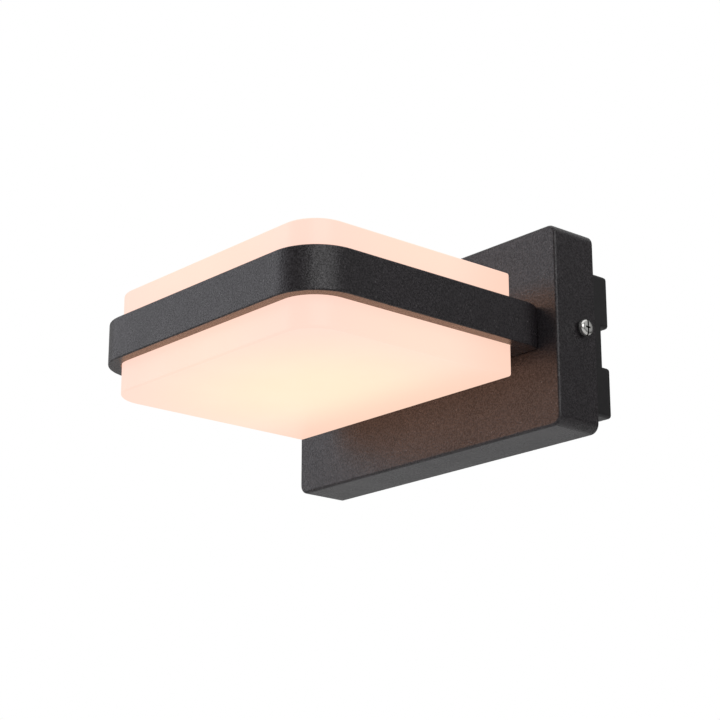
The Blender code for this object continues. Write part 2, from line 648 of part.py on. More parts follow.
def led_driver():
    """The potted driver on two bosses inside the canopy, and its screws."""
    base = CANOPY_INNER_Y + GAP
    half_x, half_z = DRIVER_WIDTH / 2, DRIVER_HEIGHT / 2
    case = box("led_driver", (-half_x, base, DRIVER_CENTRE_Z - half_z),
               (half_x, base + DRIVER_DEPTH, DRIVER_CENTRE_Z + half_z))
    bevel(case, 1.2 * MM, 2)
    flange_y = BOSS_TOP_Y + GAP
    flange_half = DRIVER_FLANGE / 2
    reach = half_x + DRIVER_FLANGE
    join(case, box("driver_flange", (-reach, flange_y, DRIVER_CENTRE_Z - flange_half),
                   (reach, flange_y + DRIVER_FLANGE_THICKNESS, DRIVER_CENTRE_Z + flange_half)))
    for index, x in enumerate(driver_screw_places()):
        cut(case, cylinder(f"driver_hole_{index}", M3_HOLE, DRIVER_FLANGE_THICKNESS + 2 * THROUGH,
                           (x, flange_y - THROUGH, DRIVER_CENTRE_Z), "+Y", sides=12))
        seat = (x, flange_y + DRIVER_FLANGE_THICKNESS + GAP, DRIVER_CENTRE_Z)
        pan_screw(f"driver_screw_{index + 1}", seat, "+Y", M3_RADIUS, M3_HEAD_RADIUS, 2 * MM, 5.5 * MM, ZINC,
                  cross=False, sides=10)
    return finish(case, DRIVER_CASE)


# ---- head ----------------------------------------------------------------------------------
def head_outline():
    """The band seen from above: round front corners, rear corners that turn in and meet the canopy."""
    half, front, rear = HEAD_WIDTH / 2, HEAD_FRONT_Y, HEAD_REAR_Y
    turn = math.degrees(math.asin(HEAD_REAR_TURN / HEAD_REAR_RADIUS))
    centre_x, centre_y = half - HEAD_REAR_RADIUS, rear - HEAD_REAR_TURN
    r = HEAD_CORNER_RADIUS
    return (
        arc((-half + r, front + r), r, 180, 270, 10)
        + arc((half - r, front + r), r, 270, 360, 10)
        + arc((centre_x, centre_y), HEAD_REAR_RADIUS, 0, turn, 4)
        + arc((-centre_x, centre_y), HEAD_REAR_RADIUS, 180 - turn, 180, 4)
    )


def cavity_outline(inset=0.0, steps=8):
    """The opening in the band, or the same outline moved inwards by inset."""
    half = CAVITY_HALF_WIDTH - inset
    front, rear = CAVITY_FRONT_Y + inset, CAVITY_REAR_Y - inset
    rear_radius = max(DIFFUSER_REAR_RADIUS - inset, 0.5 * MM)
    return rounded_outline(-half, half, front, rear, CAVITY_RADIUS - inset, rear_radius, steps)


def snap_places():
    """Where each diffuser's snap tabs are: (x, y, outward direction)."""
    sides = [(sign * CAVITY_HALF_WIDTH, y, (sign, 0)) for sign in (-1, 1) for y in TAB_Y]
    fronts = [(sign * TAB_X, CAVITY_FRONT_Y, (0, -1)) for sign in (-1, 1)]
    return sides + fronts


def snap_block(name, place, level, half_length, half_height, reach, back):
    """A block across the band's inner face, from back inside the opening to reach beyond it."""
    x, y, (ox, oy) = place
    low_x, high_x = sorted((x - ox * back, x + ox * reach))
    low_y, high_y = sorted((y - oy * back, y + oy * reach))
    if ox:
        low_y, high_y = y - half_length, y + half_length
    else:
        low_x, high_x = x - half_length, x + half_length
    return box(name, (low_x, low_y, level - half_height), (high_x, high_y, level + half_height), HEAD)


def tab_level():
    """The height of the snap tabs above the head's middle plane."""
    return DIFFUSER_BASE + TAB_HEIGHT / 2 + GAP


def head_frame():
    """The cast band with its rear wall and the web that carries the boards."""
    half = HEAD_HEIGHT / 2
    frame = slab("head_frame", head_outline(), -half, half, HEAD)
    bevel(frame, HEAD_EDGE_RADIUS, 1, 60)
    cut(frame, slab("upper_opening", cavity_outline(), WEB_TOP, half + THROUGH, HEAD))
    cut(frame, slab("lower_opening", cavity_outline(), -half - THROUGH, -WEB_TOP, HEAD))
    for index, place in enumerate(snap_places()):
        for name, level in (("upper", tab_level()), ("lower", -tab_level())):
            cut(frame, snap_block(f"{name}_snap_pocket_{index}", place, level, TAB_LENGTH / 2 + GAP,
                                  TAB_HEIGHT / 2 + GAP, TAB_REACH + 2 * GAP, THROUGH))
    for index, x in enumerate(HEAD_SCREW_X):
        cut(frame, cylinder(f"head_thread_{index}", M4_HOLE, HEAD_SCREW_GRIP + 2 * THROUGH,
                            (x, HEAD_REAR_Y + THROUGH, 0), "-Y", HEAD, 16))
    cut(frame, cylinder("lead_tunnel", LEAD_TUNNEL_RADIUS, REAR_WALL + 2 * THROUGH,
                        (0, HEAD_REAR_Y + THROUGH, 0), "-Y", HEAD, 20))
    window_x, window_y = LEAD_WINDOW_WIDTH / 2, BOARD_REAR_Y + LEAD_WINDOW_MARGIN
    cut(frame, box("lead_window", (-window_x, window_y, -WEB_THICKNESS),
                   (window_x, CAVITY_REAR_Y, WEB_THICKNESS), HEAD))
    cut(frame, cylinder("seal_seat", HEAD_SEAL_RADIUS + GAP, HEAD_SEAL_THICKNESS + GAP + THROUGH,
                        (0, HEAD_REAR_Y + THROUGH, 0), "-Y", HEAD, 24))
    for name, x, y, _ in board_screw_places():
        cut(frame, cylinder(f"web_hole_{name}", M3_HOLE, WEB_THICKNESS + 2 * THROUGH,
                            (x, y, -WEB_TOP - THROUGH), "+Z", HEAD, 12))
    return finish(frame, POWDER_COAT)


def head_seal():
    """The rubber ring round the leads, between the head and the canopy."""
    thickness = HEAD_SEAL_THICKNESS
    profile = [
        (HEAD_SEAL_BORE, thickness),
        (HEAD_SEAL_RADIUS, thickness),
        (HEAD_SEAL_RADIUS, 0),
        (HEAD_SEAL_BORE, 0),
        (HEAD_SEAL_BORE, thickness),
    ]
    place = Matrix.Translation((0, HEAD_REAR_Y - thickness, 0)) @ ALONG["+Y"]
    return finish(turned("head_seal", profile, place, HEAD, 24), EPDM)


def head_screws():
    """The four screws that clamp the head to the canopy from inside."""
    for index, x in enumerate(HEAD_SCREW_X):
        seat = (x, CANOPY_WALL + GAP, 0)
        pan_screw(f"head_screw_{index + 1}", seat, "+Y", M4_RADIUS, M4_HEAD_RADIUS, 2.6 * MM,
                  CANOPY_WALL + HEAD_SCREW_GRIP, ZINC, HEAD, sides=16)


def board_screw_places():
    """The screws of both boards: (name, x, y, side), the lower ones clear of the upper."""
    half_x = BOARD_WIDTH / 2 - BOARD_SCREW_INSET
    half_y = BOARD_DEPTH / 2 - BOARD_SCREW_INSET
    places = []
    for level, shift in (("upper", 0.0), ("lower", BOARD_SCREW_SHIFT)):
        corners = [(sx * (half_x - shift), sy * half_y) for sy in (-1, 1) for sx in (-1, 1)]
        for index, (x, y) in enumerate(corners):
            places.append((f"{level}_{index + 1}", x, CAVITY_CENTRE_Y + y, 1 if level == "upper" else -1))
    return places


def led_boards():
    """The two aluminium boards with their rows of emitters, and the screws that hold them."""
    half_x, half_y = BOARD_WIDTH / 2, BOARD_DEPTH / 2
    for name, sign in (("upper", 1), ("lower", -1)):
        heights = sorted((sign * BOARD_BASE, sign * BOARD_TOP))
        board = box(f"led_board_{name}", (-half_x, CAVITY_CENTRE_Y - half_y, heights[0]),
                    (half_x, CAVITY_CENTRE_Y + half_y, heights[1]), HEAD)
        for column in range(LED_COLUMNS):
            for row in range(LED_ROWS):
                x = (column - (LED_COLUMNS - 1) / 2) * LED_PITCH
                y = CAVITY_CENTRE_Y + (row - (LED_ROWS - 1) / 2) * LED_PITCH
                levels = sorted((sign * (BOARD_TOP - LED_SIZE[2] / 2), sign * (BOARD_TOP + LED_SIZE[2])))
                low = (x - LED_SIZE[0] / 2, y - LED_SIZE[1] / 2, levels[0])
                high = (x + LED_SIZE[0] / 2, y + LED_SIZE[1] / 2, levels[1])
                join(board, box(f"emitter_{name}_{column}_{row}", low, high, HEAD))
        for screw, x, y, side in board_screw_places():
            if side == sign:
                cut(board, cylinder(f"board_hole_{screw}", M3_HOLE, 6 * THROUGH,
                                    (x, y, sign * BOARD_BASE - 3 * THROUGH), "+Z", HEAD, 12))
        finish(board, BOARD_WHITE)
    for screw, x, y, side in board_screw_places():
        direction = "+Z" if side > 0 else "-Z"
        pan_screw(f"board_screw_{screw}", (x, y, side * (BOARD_TOP + GAP)), direction, M3_RADIUS,
                  M3_HEAD_RADIUS, 1.8 * MM, BOARD_THICKNESS + 2.4 * MM, ZINC, HEAD, cross=False, sides=10)


def diffusers():
    """The two opal covers with their snap tabs, and the silicone ring under each."""
    for name, sign, direction in (("upper", 1, "+Z"), ("lower", -1, "-Z")):
        levels = sorted((sign * DIFFUSER_BASE, sign * DIFFUSER_TOP))
        cover = slab(f"diffuser_{name}", cavity_outline(DIFFUSER_FIT), *levels, HEAD)
        bevel_rim(cover, DIFFUSER_EDGE_RADIUS, lambda co: abs(co.z) > DIFFUSER_TOP - GAP)
        hollow = sorted((sign * (DIFFUSER_BASE - THROUGH), sign * (DIFFUSER_TOP - DIFFUSER_WALL)))
        for index, place in enumerate(snap_places()):
            join(cover, snap_block(f"{name}_snap_tab_{index}", place, sign * tab_level(), TAB_LENGTH / 2,
                                   TAB_HEIGHT / 2, TAB_REACH, DIFFUSER_FIT + DIFFUSER_WALL / 2))
        inside = cavity_outline(DIFFUSER_FIT + DIFFUSER_WALL)
        cut(cover, slab(f"{name}_diffuser_hollow", inside, *hollow, HEAD))
        finish(cover, OPAL)

        ring_levels = sorted((sign * (WEB_TOP + GAP), sign * SEAL_TOP))
        seal = slab(f"diffuser_seal_{name}", cavity_outline(GAP), *ring_levels, HEAD)
        core = sorted((0.0, sign * (SEAL_TOP + THROUGH)))
        cut(seal, slab(f"{name}_seal_core", cavity_outline(GAP + DIFFUSER_SEAL_WIDTH), *core, HEAD))
        if sign < 0:
            notch_y = CAVITY_REAR_Y - DIFFUSER_SEAL_WIDTH - THROUGH
            notch_low = (-LEAD_TUNNEL_RADIUS, notch_y, -WEB_TOP - DIFFUSER_SEAL_HEIGHT * 0.95)
            cut(seal, box("seal_notch", notch_low, (LEAD_TUNNEL_RADIUS, CAVITY_REAR_Y, 0), HEAD))
        finish(seal, SILICONE)


# ---- leads ---------------------------------------------------------------------------------
def leads():
    """The leads that stay inside: supply, earth and the pair that feeds both boards."""
    way_y = PLATE_FRONT_Y - GAP - TERMINAL_SIZE[1] + TERMINAL_WAY_DEPTH
    top = TERMINAL_Z + TERMINAL_SIZE[2] / 2
    driver_y = CANOPY_INNER_Y + GAP + DRIVER_DEPTH / 2
    driver_edge = DRIVER_CENTRE_Z - DRIVER_HEIGHT / 2 - GAP

    def from_terminal(pole):
        return [(pole, way_y, TERMINAL_Z), (pole, way_y, top), (pole, way_y, top + 4 * MM)]

    live, neutral, earth = TERMINAL_POLES
    lead("supply_lead_live", from_terminal(live) + [
        (live - 4 * MM, way_y - 1 * MM, top + 9 * MM),
        (live - 15 * MM, way_y - 4 * MM, driver_edge - 15 * MM),
        (live - 21 * MM, driver_y, driver_edge - 6 * MM),
        (live - 22 * MM, driver_y, driver_edge),
    ], LEAD_LOOKS["live"])
    lead("supply_lead_neutral", from_terminal(neutral) + [
        (neutral - 3 * MM, way_y - 1 * MM, top + 12 * MM),
        (neutral - 13 * MM, way_y - 4 * MM, driver_edge - 12 * MM),
        (neutral - 24 * MM, driver_y, driver_edge - 6 * MM),
        (neutral - 25 * MM, driver_y, driver_edge),
    ], LEAD_LOOKS["neutral"])
    tag_y = PLATE_FRONT_Y - GAP - EARTH_TAG_THICKNESS / 2
    lead("earth_lead", from_terminal(earth) + [
        (earth + 6 * MM, way_y, top + 7 * MM),
        (earth + 14 * MM, way_y + 1 * MM, top + 1 * MM),
        (EARTH_SCREW_X - 13 * MM, tag_y - 2 * MM, TERMINAL_Z + 2 * MM),
        (EARTH_SCREW_X - EARTH_CRIMP_REACH - 2 * GAP, tag_y - 1 * MM, TERMINAL_Z),
    ], LEAD_LOOKS["earth"])

    tunnel_front = CANOPY_FRONT_Y + CAVITY_REAR_Y
    reach = BOARD_TOP + LEAD_RADIUS + GAP
    for name, side, start_x, low in (("positive", 1, 20 * MM, 0.0), ("negative", -1, 27 * MM, 4 * MM)):
        x = side * 1.5 * MM
        lead(f"driver_lead_{name}", [
            (start_x, driver_y, driver_edge),
            (start_x - 0.5 * MM, driver_y, driver_edge - 5 * MM),
            (start_x - 6 * MM, driver_y - 0.5 * MM, 4.5 * MM - low),
            (8 * MM, driver_y - 1.5 * MM, 2.2 * MM - low),
            (x + 2 * MM, CANOPY_INNER_Y + 2.5 * MM, side * 1.6 * MM),
            (x, CANOPY_INNER_Y - 1 * MM, 0),
            (x, CANOPY_FRONT_Y - REAR_WALL / 2, 0),
            (x, tunnel_front + 1 * MM, 0),
            (x, tunnel_front - 4 * MM, -reach * 0.45),
            (x, tunnel_front - 8 * MM, -reach),
            (x, CANOPY_FRONT_Y + BOARD_REAR_Y - 3 * MM, -reach),
        ], LEAD_LOOKS[name])
        x = side * LEAD_WINDOW_WIDTH / 2
        lead(f"link_lead_{name}", [
            (x * 1.4, BOARD_REAR_Y - 3 * MM, reach),
            (x * 1.2, BOARD_REAR_Y + 2 * MM, reach),
            (x * 0.8, BOARD_REAR_Y + 6 * MM, reach * 0.6),
            (x * 0.72, BOARD_REAR_Y + 7 * MM, 0),
            (x * 0.8, BOARD_REAR_Y + 6 * MM, -reach * 0.6),
            (x * 1.2, BOARD_REAR_Y + 2 * MM, -reach),
            (x * 1.4, BOARD_REAR_Y - 3 * MM, -reach),
        ], LEAD_LOOKS[name], HEAD)


def main():
    wall_bracket()
    perimeter_seal()
    entry_grommet()
    terminal_block()
    earth_screw()
    canopy()
    lock_screws()
    led_driver()
    head_frame()
    head_seal()
    head_screws()
    led_boards()
    diffusers()
    leads()


main()
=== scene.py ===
"""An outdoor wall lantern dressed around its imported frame.

Every piece is modelled at its place in the lantern's own frame, in metres: X to the right
seen from the front, -Y away from the wall and +Z up, with the origin on the upper wall pad.
"""

import logging
import math
from contextlib import contextmanager
from dataclasses import dataclass
from enum import Enum
from itertools import product
from typing import Callable, Iterator, Sequence

import bmesh
import bpy
from mathutils import Matrix, Vector


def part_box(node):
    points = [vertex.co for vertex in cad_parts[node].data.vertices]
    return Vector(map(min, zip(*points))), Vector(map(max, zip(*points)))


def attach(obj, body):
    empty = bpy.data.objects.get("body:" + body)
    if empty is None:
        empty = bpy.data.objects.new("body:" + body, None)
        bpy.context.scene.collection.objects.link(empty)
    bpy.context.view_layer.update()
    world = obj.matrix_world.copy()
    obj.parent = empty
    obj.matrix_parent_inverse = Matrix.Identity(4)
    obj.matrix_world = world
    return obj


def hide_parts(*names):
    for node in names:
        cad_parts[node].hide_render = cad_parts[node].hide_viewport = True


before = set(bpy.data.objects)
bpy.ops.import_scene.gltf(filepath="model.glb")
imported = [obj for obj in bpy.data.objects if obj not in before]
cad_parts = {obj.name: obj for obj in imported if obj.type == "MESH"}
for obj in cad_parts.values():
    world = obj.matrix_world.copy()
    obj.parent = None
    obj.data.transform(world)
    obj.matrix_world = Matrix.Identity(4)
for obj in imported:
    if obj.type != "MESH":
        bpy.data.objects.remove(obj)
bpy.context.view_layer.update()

MM = 0.001
GAP = 0.3 * MM
SLIVER = 0.002 * MM
THROUGH = 1.0 * MM
CREASE = 32.0
BODY = "lantern"
SIDES = (-1, 1)
LOG = logging.getLogger("wall_lantern")

Piece = bpy.types.Object
Socket = bpy.types.NodeSocket
Pair = tuple[float, float]
Place = tuple[float, float, float]
Route = tuple[Place, ...]
EdgeTest = Callable[[Vector, Vector, float], bool]
FaceTest = Callable[[Vector, Vector], bool]
Colour = tuple[float, float, float]


def mm(*lengths: float) -> tuple[float, ...]:
    """Lengths in millimetres as metres."""
    return tuple(length * MM for length in lengths)


class Axis(Enum):
    """The directions that pieces are built along."""

    RIGHT = (1.0, 0.0, 0.0)
    LEFT = (-1.0, 0.0, 0.0)
    WALL = (0.0, 1.0, 0.0)
    FRONT = (0.0, -1.0, 0.0)
    UP = (0.0, 0.0, 1.0)
    DOWN = (0.0, 0.0, -1.0)

    @property
    def vector(self) -> Vector:
        """The direction as a unit vector."""
        return Vector(self.value)

    @property
    def turn(self) -> Matrix:
        """The rotation that takes +Z to this direction."""
        return Vector((0, 0, 1)).rotation_difference(self.vector).to_matrix().to_4x4()


FLANKS = ((-1, Axis.LEFT, "left"), (1, Axis.RIGHT, "right"))


# ---- bench: how every piece is shaped ------------------------------------------------------
def deselect() -> None:
    """Leave object mode's selection empty, so that an operator acts on one piece only."""
    bpy.ops.object.select_all(action="DESELECT")


def activate(piece: Piece) -> None:
    """Make one piece the only selected and active object."""
    deselect()
    piece.select_set(True)
    bpy.context.view_layer.objects.active = piece


def named(name: str) -> Piece:
    """Name the primitive just added, with its place baked into its mesh."""
    piece = bpy.context.object
    piece.name = name
    piece.data.name = name
    bpy.ops.object.transform_apply(location=True, rotation=True, scale=True)
    return piece


def block(name: str, low: Sequence[float], high: Sequence[float]) -> Piece:
    """Add a block between two opposite corners.

    Args:
        name: name of the piece.
        low: one corner.
        high: the opposite corner.

    Returns:
        The new piece.
    """
    deselect()
    first, second = Vector(low), Vector(high)
    size = [abs(value) for value in second - first]
    bpy.ops.mesh.primitive_cube_add(size=1, location=(first + second) / 2, scale=size)
    return named(name)


def rod(name: str, radius: float, start: Sequence[float], axis: Axis, length: float,
        sides: int = 40) -> Piece:
    """Add a round bar.

    Args:
        name: name of the piece.
        radius: its radius.
        start: centre of its first end.
        axis: the way it runs.
        length: its length.
        sides: number of flats round it.

    Returns:
        The new piece.
    """
    deselect()
    centre = Vector(start) + axis.vector * length / 2
    bpy.ops.mesh.primitive_cylinder_add(
        radius=radius, depth=length, vertices=sides, location=centre, rotation=axis.turn.to_euler()
    )
    return named(name)


@contextmanager
def editing(piece: Piece) -> Iterator[None]:
    """Edit one piece's mesh with nothing selected in it, and come back to object mode."""
    activate(piece)
    bpy.ops.object.mode_set(mode="EDIT")
    bpy.ops.mesh.select_all(action="DESELECT")
    yield
    bpy.ops.object.mode_set(mode="OBJECT")


def pick_edges(piece: Piece, wanted: EdgeTest) -> None:
    """Select the edges that wanted accepts, given both ends and how far they stick out in degrees."""
    bpy.ops.mesh.select_mode(type="EDGE")
    bpy.ops.mesh.select_all(action="DESELECT")
    mesh = bmesh.from_edit_mesh(piece.data)
    for edge in mesh.edges:
        start, end = (corner.co for corner in edge.verts)
        if wanted(start, end, math.degrees(edge.calc_face_angle_signed(0.0))):
            edge.select_set(True)
    bmesh.update_edit_mesh(piece.data)


def pick_faces(piece: Piece, wanted: FaceTest) -> None:
    """Select the faces that wanted accepts, given the centre and the normal."""
    bpy.ops.mesh.select_mode(type="FACE")
    bpy.ops.mesh.select_all(action="DESELECT")
    mesh = bmesh.from_edit_mesh(piece.data)
    for face in mesh.faces:
        if wanted(face.calc_center_median(), face.normal):
            face.select_set(True)
    bmesh.update_edit_mesh(piece.data)


def round_edges(piece: Piece, wanted: EdgeTest, radius: float, segments: int = 4) -> Piece:
    """Round the edges that wanted accepts.

    Args:
        piece: the piece to shape.
        wanted: test on an edge's two ends and its face angle in degrees.
        radius: radius of the rounding.
        segments: number of facets across it.

    Returns:
        The same piece.
    """
    with editing(piece):
        pick_edges(piece, wanted)
        bpy.ops.mesh.bevel(offset_type="OFFSET", offset=radius, segments=segments, affect="EDGES")
    return piece


def along(axis: Axis, side: Callable[[Vector], bool] = lambda place: True) -> EdgeTest:
    """A test for straight edges that run along an axis, on the side that is asked for."""
    def wanted(start: Vector, end: Vector, angle: float) -> bool:
        run = (end - start).normalized()
        return angle > 45 and abs(run.dot(axis.vector)) > 0.999 and side((start + end) / 2)
    return wanted


def rim_at(axis: Axis, level: float, near: float = 0.01 * MM) -> EdgeTest:
    """A test for the sharp edges that lie in the plane at level along an axis."""
    def wanted(start: Vector, end: Vector, angle: float) -> bool:
        ends = (start.dot(axis.vector), end.dot(axis.vector))
        return angle > 40 and all(abs(value - level) < near for value in ends)
    return wanted


def use_modifier(piece: Piece, kind: str, **settings: object) -> Piece:
    """Put a modifier on a piece and apply it.

    Args:
        piece: the piece to change.
        kind: the modifier's type.
        settings: its properties.

    Returns:
        The same piece.
    """
    change = piece.modifiers.new(kind.lower(), kind)
    for name, value in settings.items():
        setattr(change, name, value)
    activate(piece)
    bpy.ops.object.modifier_apply(modifier=change.name)
    return piece


def carve(piece: Piece, *cutters: Piece) -> Piece:
    """Cut other shapes out of a piece and discard them."""
    for cutter in cutters:
        use_modifier(piece, "BOOLEAN", operation="DIFFERENCE", solver="EXACT", object=cutter)
        bpy.data.objects.remove(cutter, do_unlink=True)
    return piece


def weld_on(piece: Piece, *others: Piece) -> Piece:
    """Merge other solids into a piece as one skin."""
    for other in others:
        use_modifier(piece, "BOOLEAN", operation="UNION", solver="EXACT", object=other)
        bpy.data.objects.remove(other, do_unlink=True)
    return piece


def gather(piece: Piece, *others: Piece) -> Piece:
    """Join separate shells into one object, keeping each one's material."""
    activate(piece)
    for other in others:
        other.select_set(True)
    bpy.ops.object.join()
    return piece


def copy_of(piece: Piece, name: str, move: Matrix) -> Piece:
    """Copy a piece, mesh and all, with a move baked into the copy."""
    twin = piece.copy()
    twin.data = piece.data.copy()
    twin.name = name
    twin.data.name = name
    bpy.context.scene.collection.objects.link(twin)
    twin.data.transform(move)
    if move.determinant() < 0:
        twin.data.flip_normals()
    return twin


def paint(piece: Piece, look: bpy.types.Material) -> Piece:
    """Give a piece one material."""
    piece.data.materials.clear()
    piece.data.materials.append(look)
    return piece


def smooth(piece: Piece, angle: float = CREASE, weighted: bool = True) -> Piece:
    """Clear slivers and shade a piece smooth up to an angle, with its flats kept flat."""
    with editing(piece):
        bpy.ops.mesh.select_all(action="SELECT")
        bpy.ops.mesh.remove_doubles(threshold=SLIVER)
        bpy.ops.mesh.dissolve_degenerate(threshold=SLIVER)
    activate(piece)
    bpy.ops.object.shade_smooth_by_angle(angle=math.radians(angle))
    if weighted:
        use_modifier(piece, "WEIGHTED_NORMAL", keep_sharp=True, weight=90)
    return piece


def hand_over(piece: Piece, slot: str, *nodes: str, body: str = BODY) -> Piece:
    """Fasten a finished piece to its body and put it in place of its frame nodes.

    Args:
        piece: the finished piece.
        slot: not used.
        nodes: the frame nodes that it stands for.
        body: the body that it moves with.

    Returns:
        The same piece.
    """
    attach(piece, body)
    if nodes:
        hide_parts(*nodes)
    LOG.info("%s: %d faces on %s", piece.name, len(piece.data.polygons), body)
    return piece


def rounded_block(name: str, low: Sequence[float], high: Sequence[float], front: float, rear: float,
                  segments: int = 12) -> Piece:
    """Add a block whose upright edges have one radius in front and another behind."""
    made = block(name, low, high)
    middle = (low[1] + high[1]) / 2
    round_edges(made, along(Axis.UP, lambda place: place.y < middle), front, segments)
    return round_edges(made, along(Axis.UP, lambda place: place.y > middle), rear, max(3, segments // 2))


def turned(name: str, profile: Sequence[Pair], sides: int = 40) -> Piece:
    """Turn a solid on +Z from its profile.

    Args:
        name: name of the piece.
        profile: radius and height of each step, from the start to the end.
        sides: number of flats round it.

    Returns:
        The new piece, with both ends closed.
    """
    deselect()
    radius, level = profile[0]
    bpy.ops.mesh.primitive_circle_add(radius=radius, vertices=sides, fill_type="NGON", location=(0, 0, level))
    made = named(name)
    with editing(made):
        bpy.ops.mesh.select_all(action="SELECT")
        for wider, higher in profile[1:]:
            bpy.ops.mesh.extrude_region_move(TRANSFORM_OT_translate={"value": (0, 0, higher - level)})
            factor = wider / radius
            bpy.ops.transform.resize(value=(factor, factor, 1), center_override=(0, 0, higher))
            radius, level = wider, higher
        bpy.ops.mesh.select_all(action="SELECT")
        bpy.ops.mesh.normals_make_consistent(inside=False)
    return made


def centre_of(node: str) -> Vector:
    """The middle of a frame node's box."""
    low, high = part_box(node)
    return (low + high) / 2


# ---- finishes ------------------------------------------------------------------------------
class Recipe:
    """A node tree written one node at a time."""

    def __init__(self, tree: bpy.types.NodeTree) -> None:
        """Start on an empty tree."""
        self.tree = tree
        tree.nodes.clear()

    def node(self, kind: str, inputs: dict | None = None, **settings: object) -> bpy.types.Node:
        """Add a node.

        Args:
            kind: the node's type without its ShaderNode prefix.
            inputs: values or sockets for its inputs, by name or by number.
            settings: its properties.

        Returns:
            The new node.
        """
        made = self.tree.nodes.new(f"ShaderNode{kind}")
        for name, value in settings.items():
            setattr(made, name, value)
        for key, value in (inputs or {}).items():
            if isinstance(value, Socket):
                self.tree.links.new(value, made.inputs[key])
            else:
                made.inputs[key].default_value = value
        return made

    def math(self, operation: str, first: object, second: object = 0.0) -> Socket:
        """Add a maths node and return its result."""
        return self.node("Math", {0: first, 1: second}, operation=operation).outputs[0]

    def scaled(self, value: Socket, factor: float, offset: float) -> Socket:
        """Multiply a value and add an offset to it."""
        return self.node("Math", {0: value, 1: factor, 2: offset}, operation="MULTIPLY_ADD").outputs[0]

    def fade(self, value: Socket, low: float, high: float) -> Socket:
        """Turn a value into 0 at low and 1 at high, eased at both ends."""
        inputs = {"Value": value, "From Min": low, "From Max": high}
        return self.node("MapRange", inputs, interpolation_type="SMOOTHSTEP").outputs[0]

    def blend(self, share: object, first: object, second: object) -> Socket:
        """Mix two colours."""
        made = self.node("Mix", {0: share, 6: first, 7: second}, data_type="RGBA")
        return made.outputs[2]


def new_group(name: str, inputs: dict[str, float], outputs: Sequence[str]) -> bpy.types.NodeTree:
    """Make a shader node group whose sockets are all plain values.

    Args:
        name: name of the group.
        inputs: its inputs and their usual values.
        outputs: its outputs.

    Returns:
        The empty group.
    """
    tree = bpy.data.node_groups.new(name, "ShaderNodeTree")
    for socket, usual in inputs.items():
        made = tree.interface.new_socket(socket, in_out="INPUT", socket_type="NodeSocketFloat")
        made.default_value = usual
    for socket in outputs:
        tree.interface.new_socket(socket, in_out="OUTPUT", socket_type="NodeSocketFloat")
    return tree


FINER, BROADER = 2.7, 0.035
COARSE_SHARE = 0.65


def surface_grain() -> bpy.types.NodeTree:
    """The grain that cast, moulded and coated skins share, built once.

    Returns:
        A group that gives the height of the grain, a broad tone and scattered specks.
    """
    name = "surface_grain"
    if name in bpy.data.node_groups:
        return bpy.data.node_groups[name]
    tree = new_group(name, {"Scale": 1200.0, "Speck Scale": 2600.0, "Speck Share": 0.1},
                     ("Height", "Tone", "Speck"))
    recipe = Recipe(tree)
    given = tree.nodes.new("NodeGroupInput")
    place = recipe.node("TexCoord").outputs["Object"]
    layers = []
    for factor, detail in ((1.0, 2.0), (FINER, 1.0), (BROADER, 3.0)):
        size = recipe.math("MULTIPLY", given.outputs["Scale"], factor)
        layers.append(recipe.node("TexNoise", {"Vector": place, "Scale": size, "Detail": detail}).outputs[0])
    coarse, fine, tone = layers
    height = recipe.math("ADD", recipe.math("MULTIPLY", coarse, COARSE_SHARE),
                         recipe.math("MULTIPLY", fine, 1 - COARSE_SHARE))
    cells = recipe.node("TexVoronoi", {"Vector": place, "Scale": given.outputs["Speck Scale"]})
    lot = recipe.node("SeparateColor", {0: cells.outputs["Color"]}).outputs[0]
    chosen = recipe.math("LESS_THAN", lot, given.outputs["Speck Share"])
    middle = recipe.math("SUBTRACT", 1.0, recipe.fade(cells.outputs["Distance"], 0.25, 0.5))
    out = tree.nodes.new("NodeGroupOutput")
    tree.links.new(height, out.inputs["Height"])
    tree.links.new(recipe.fade(tone, 0.3, 0.7), out.inputs["Tone"])
    tree.links.new(recipe.math("MULTIPLY", chosen, middle), out.inputs["Speck"])
    return tree


def rgba(colour: Colour) -> tuple[float, float, float, float]:
    """A colour with full opacity."""
    return (*colour, 1.0)


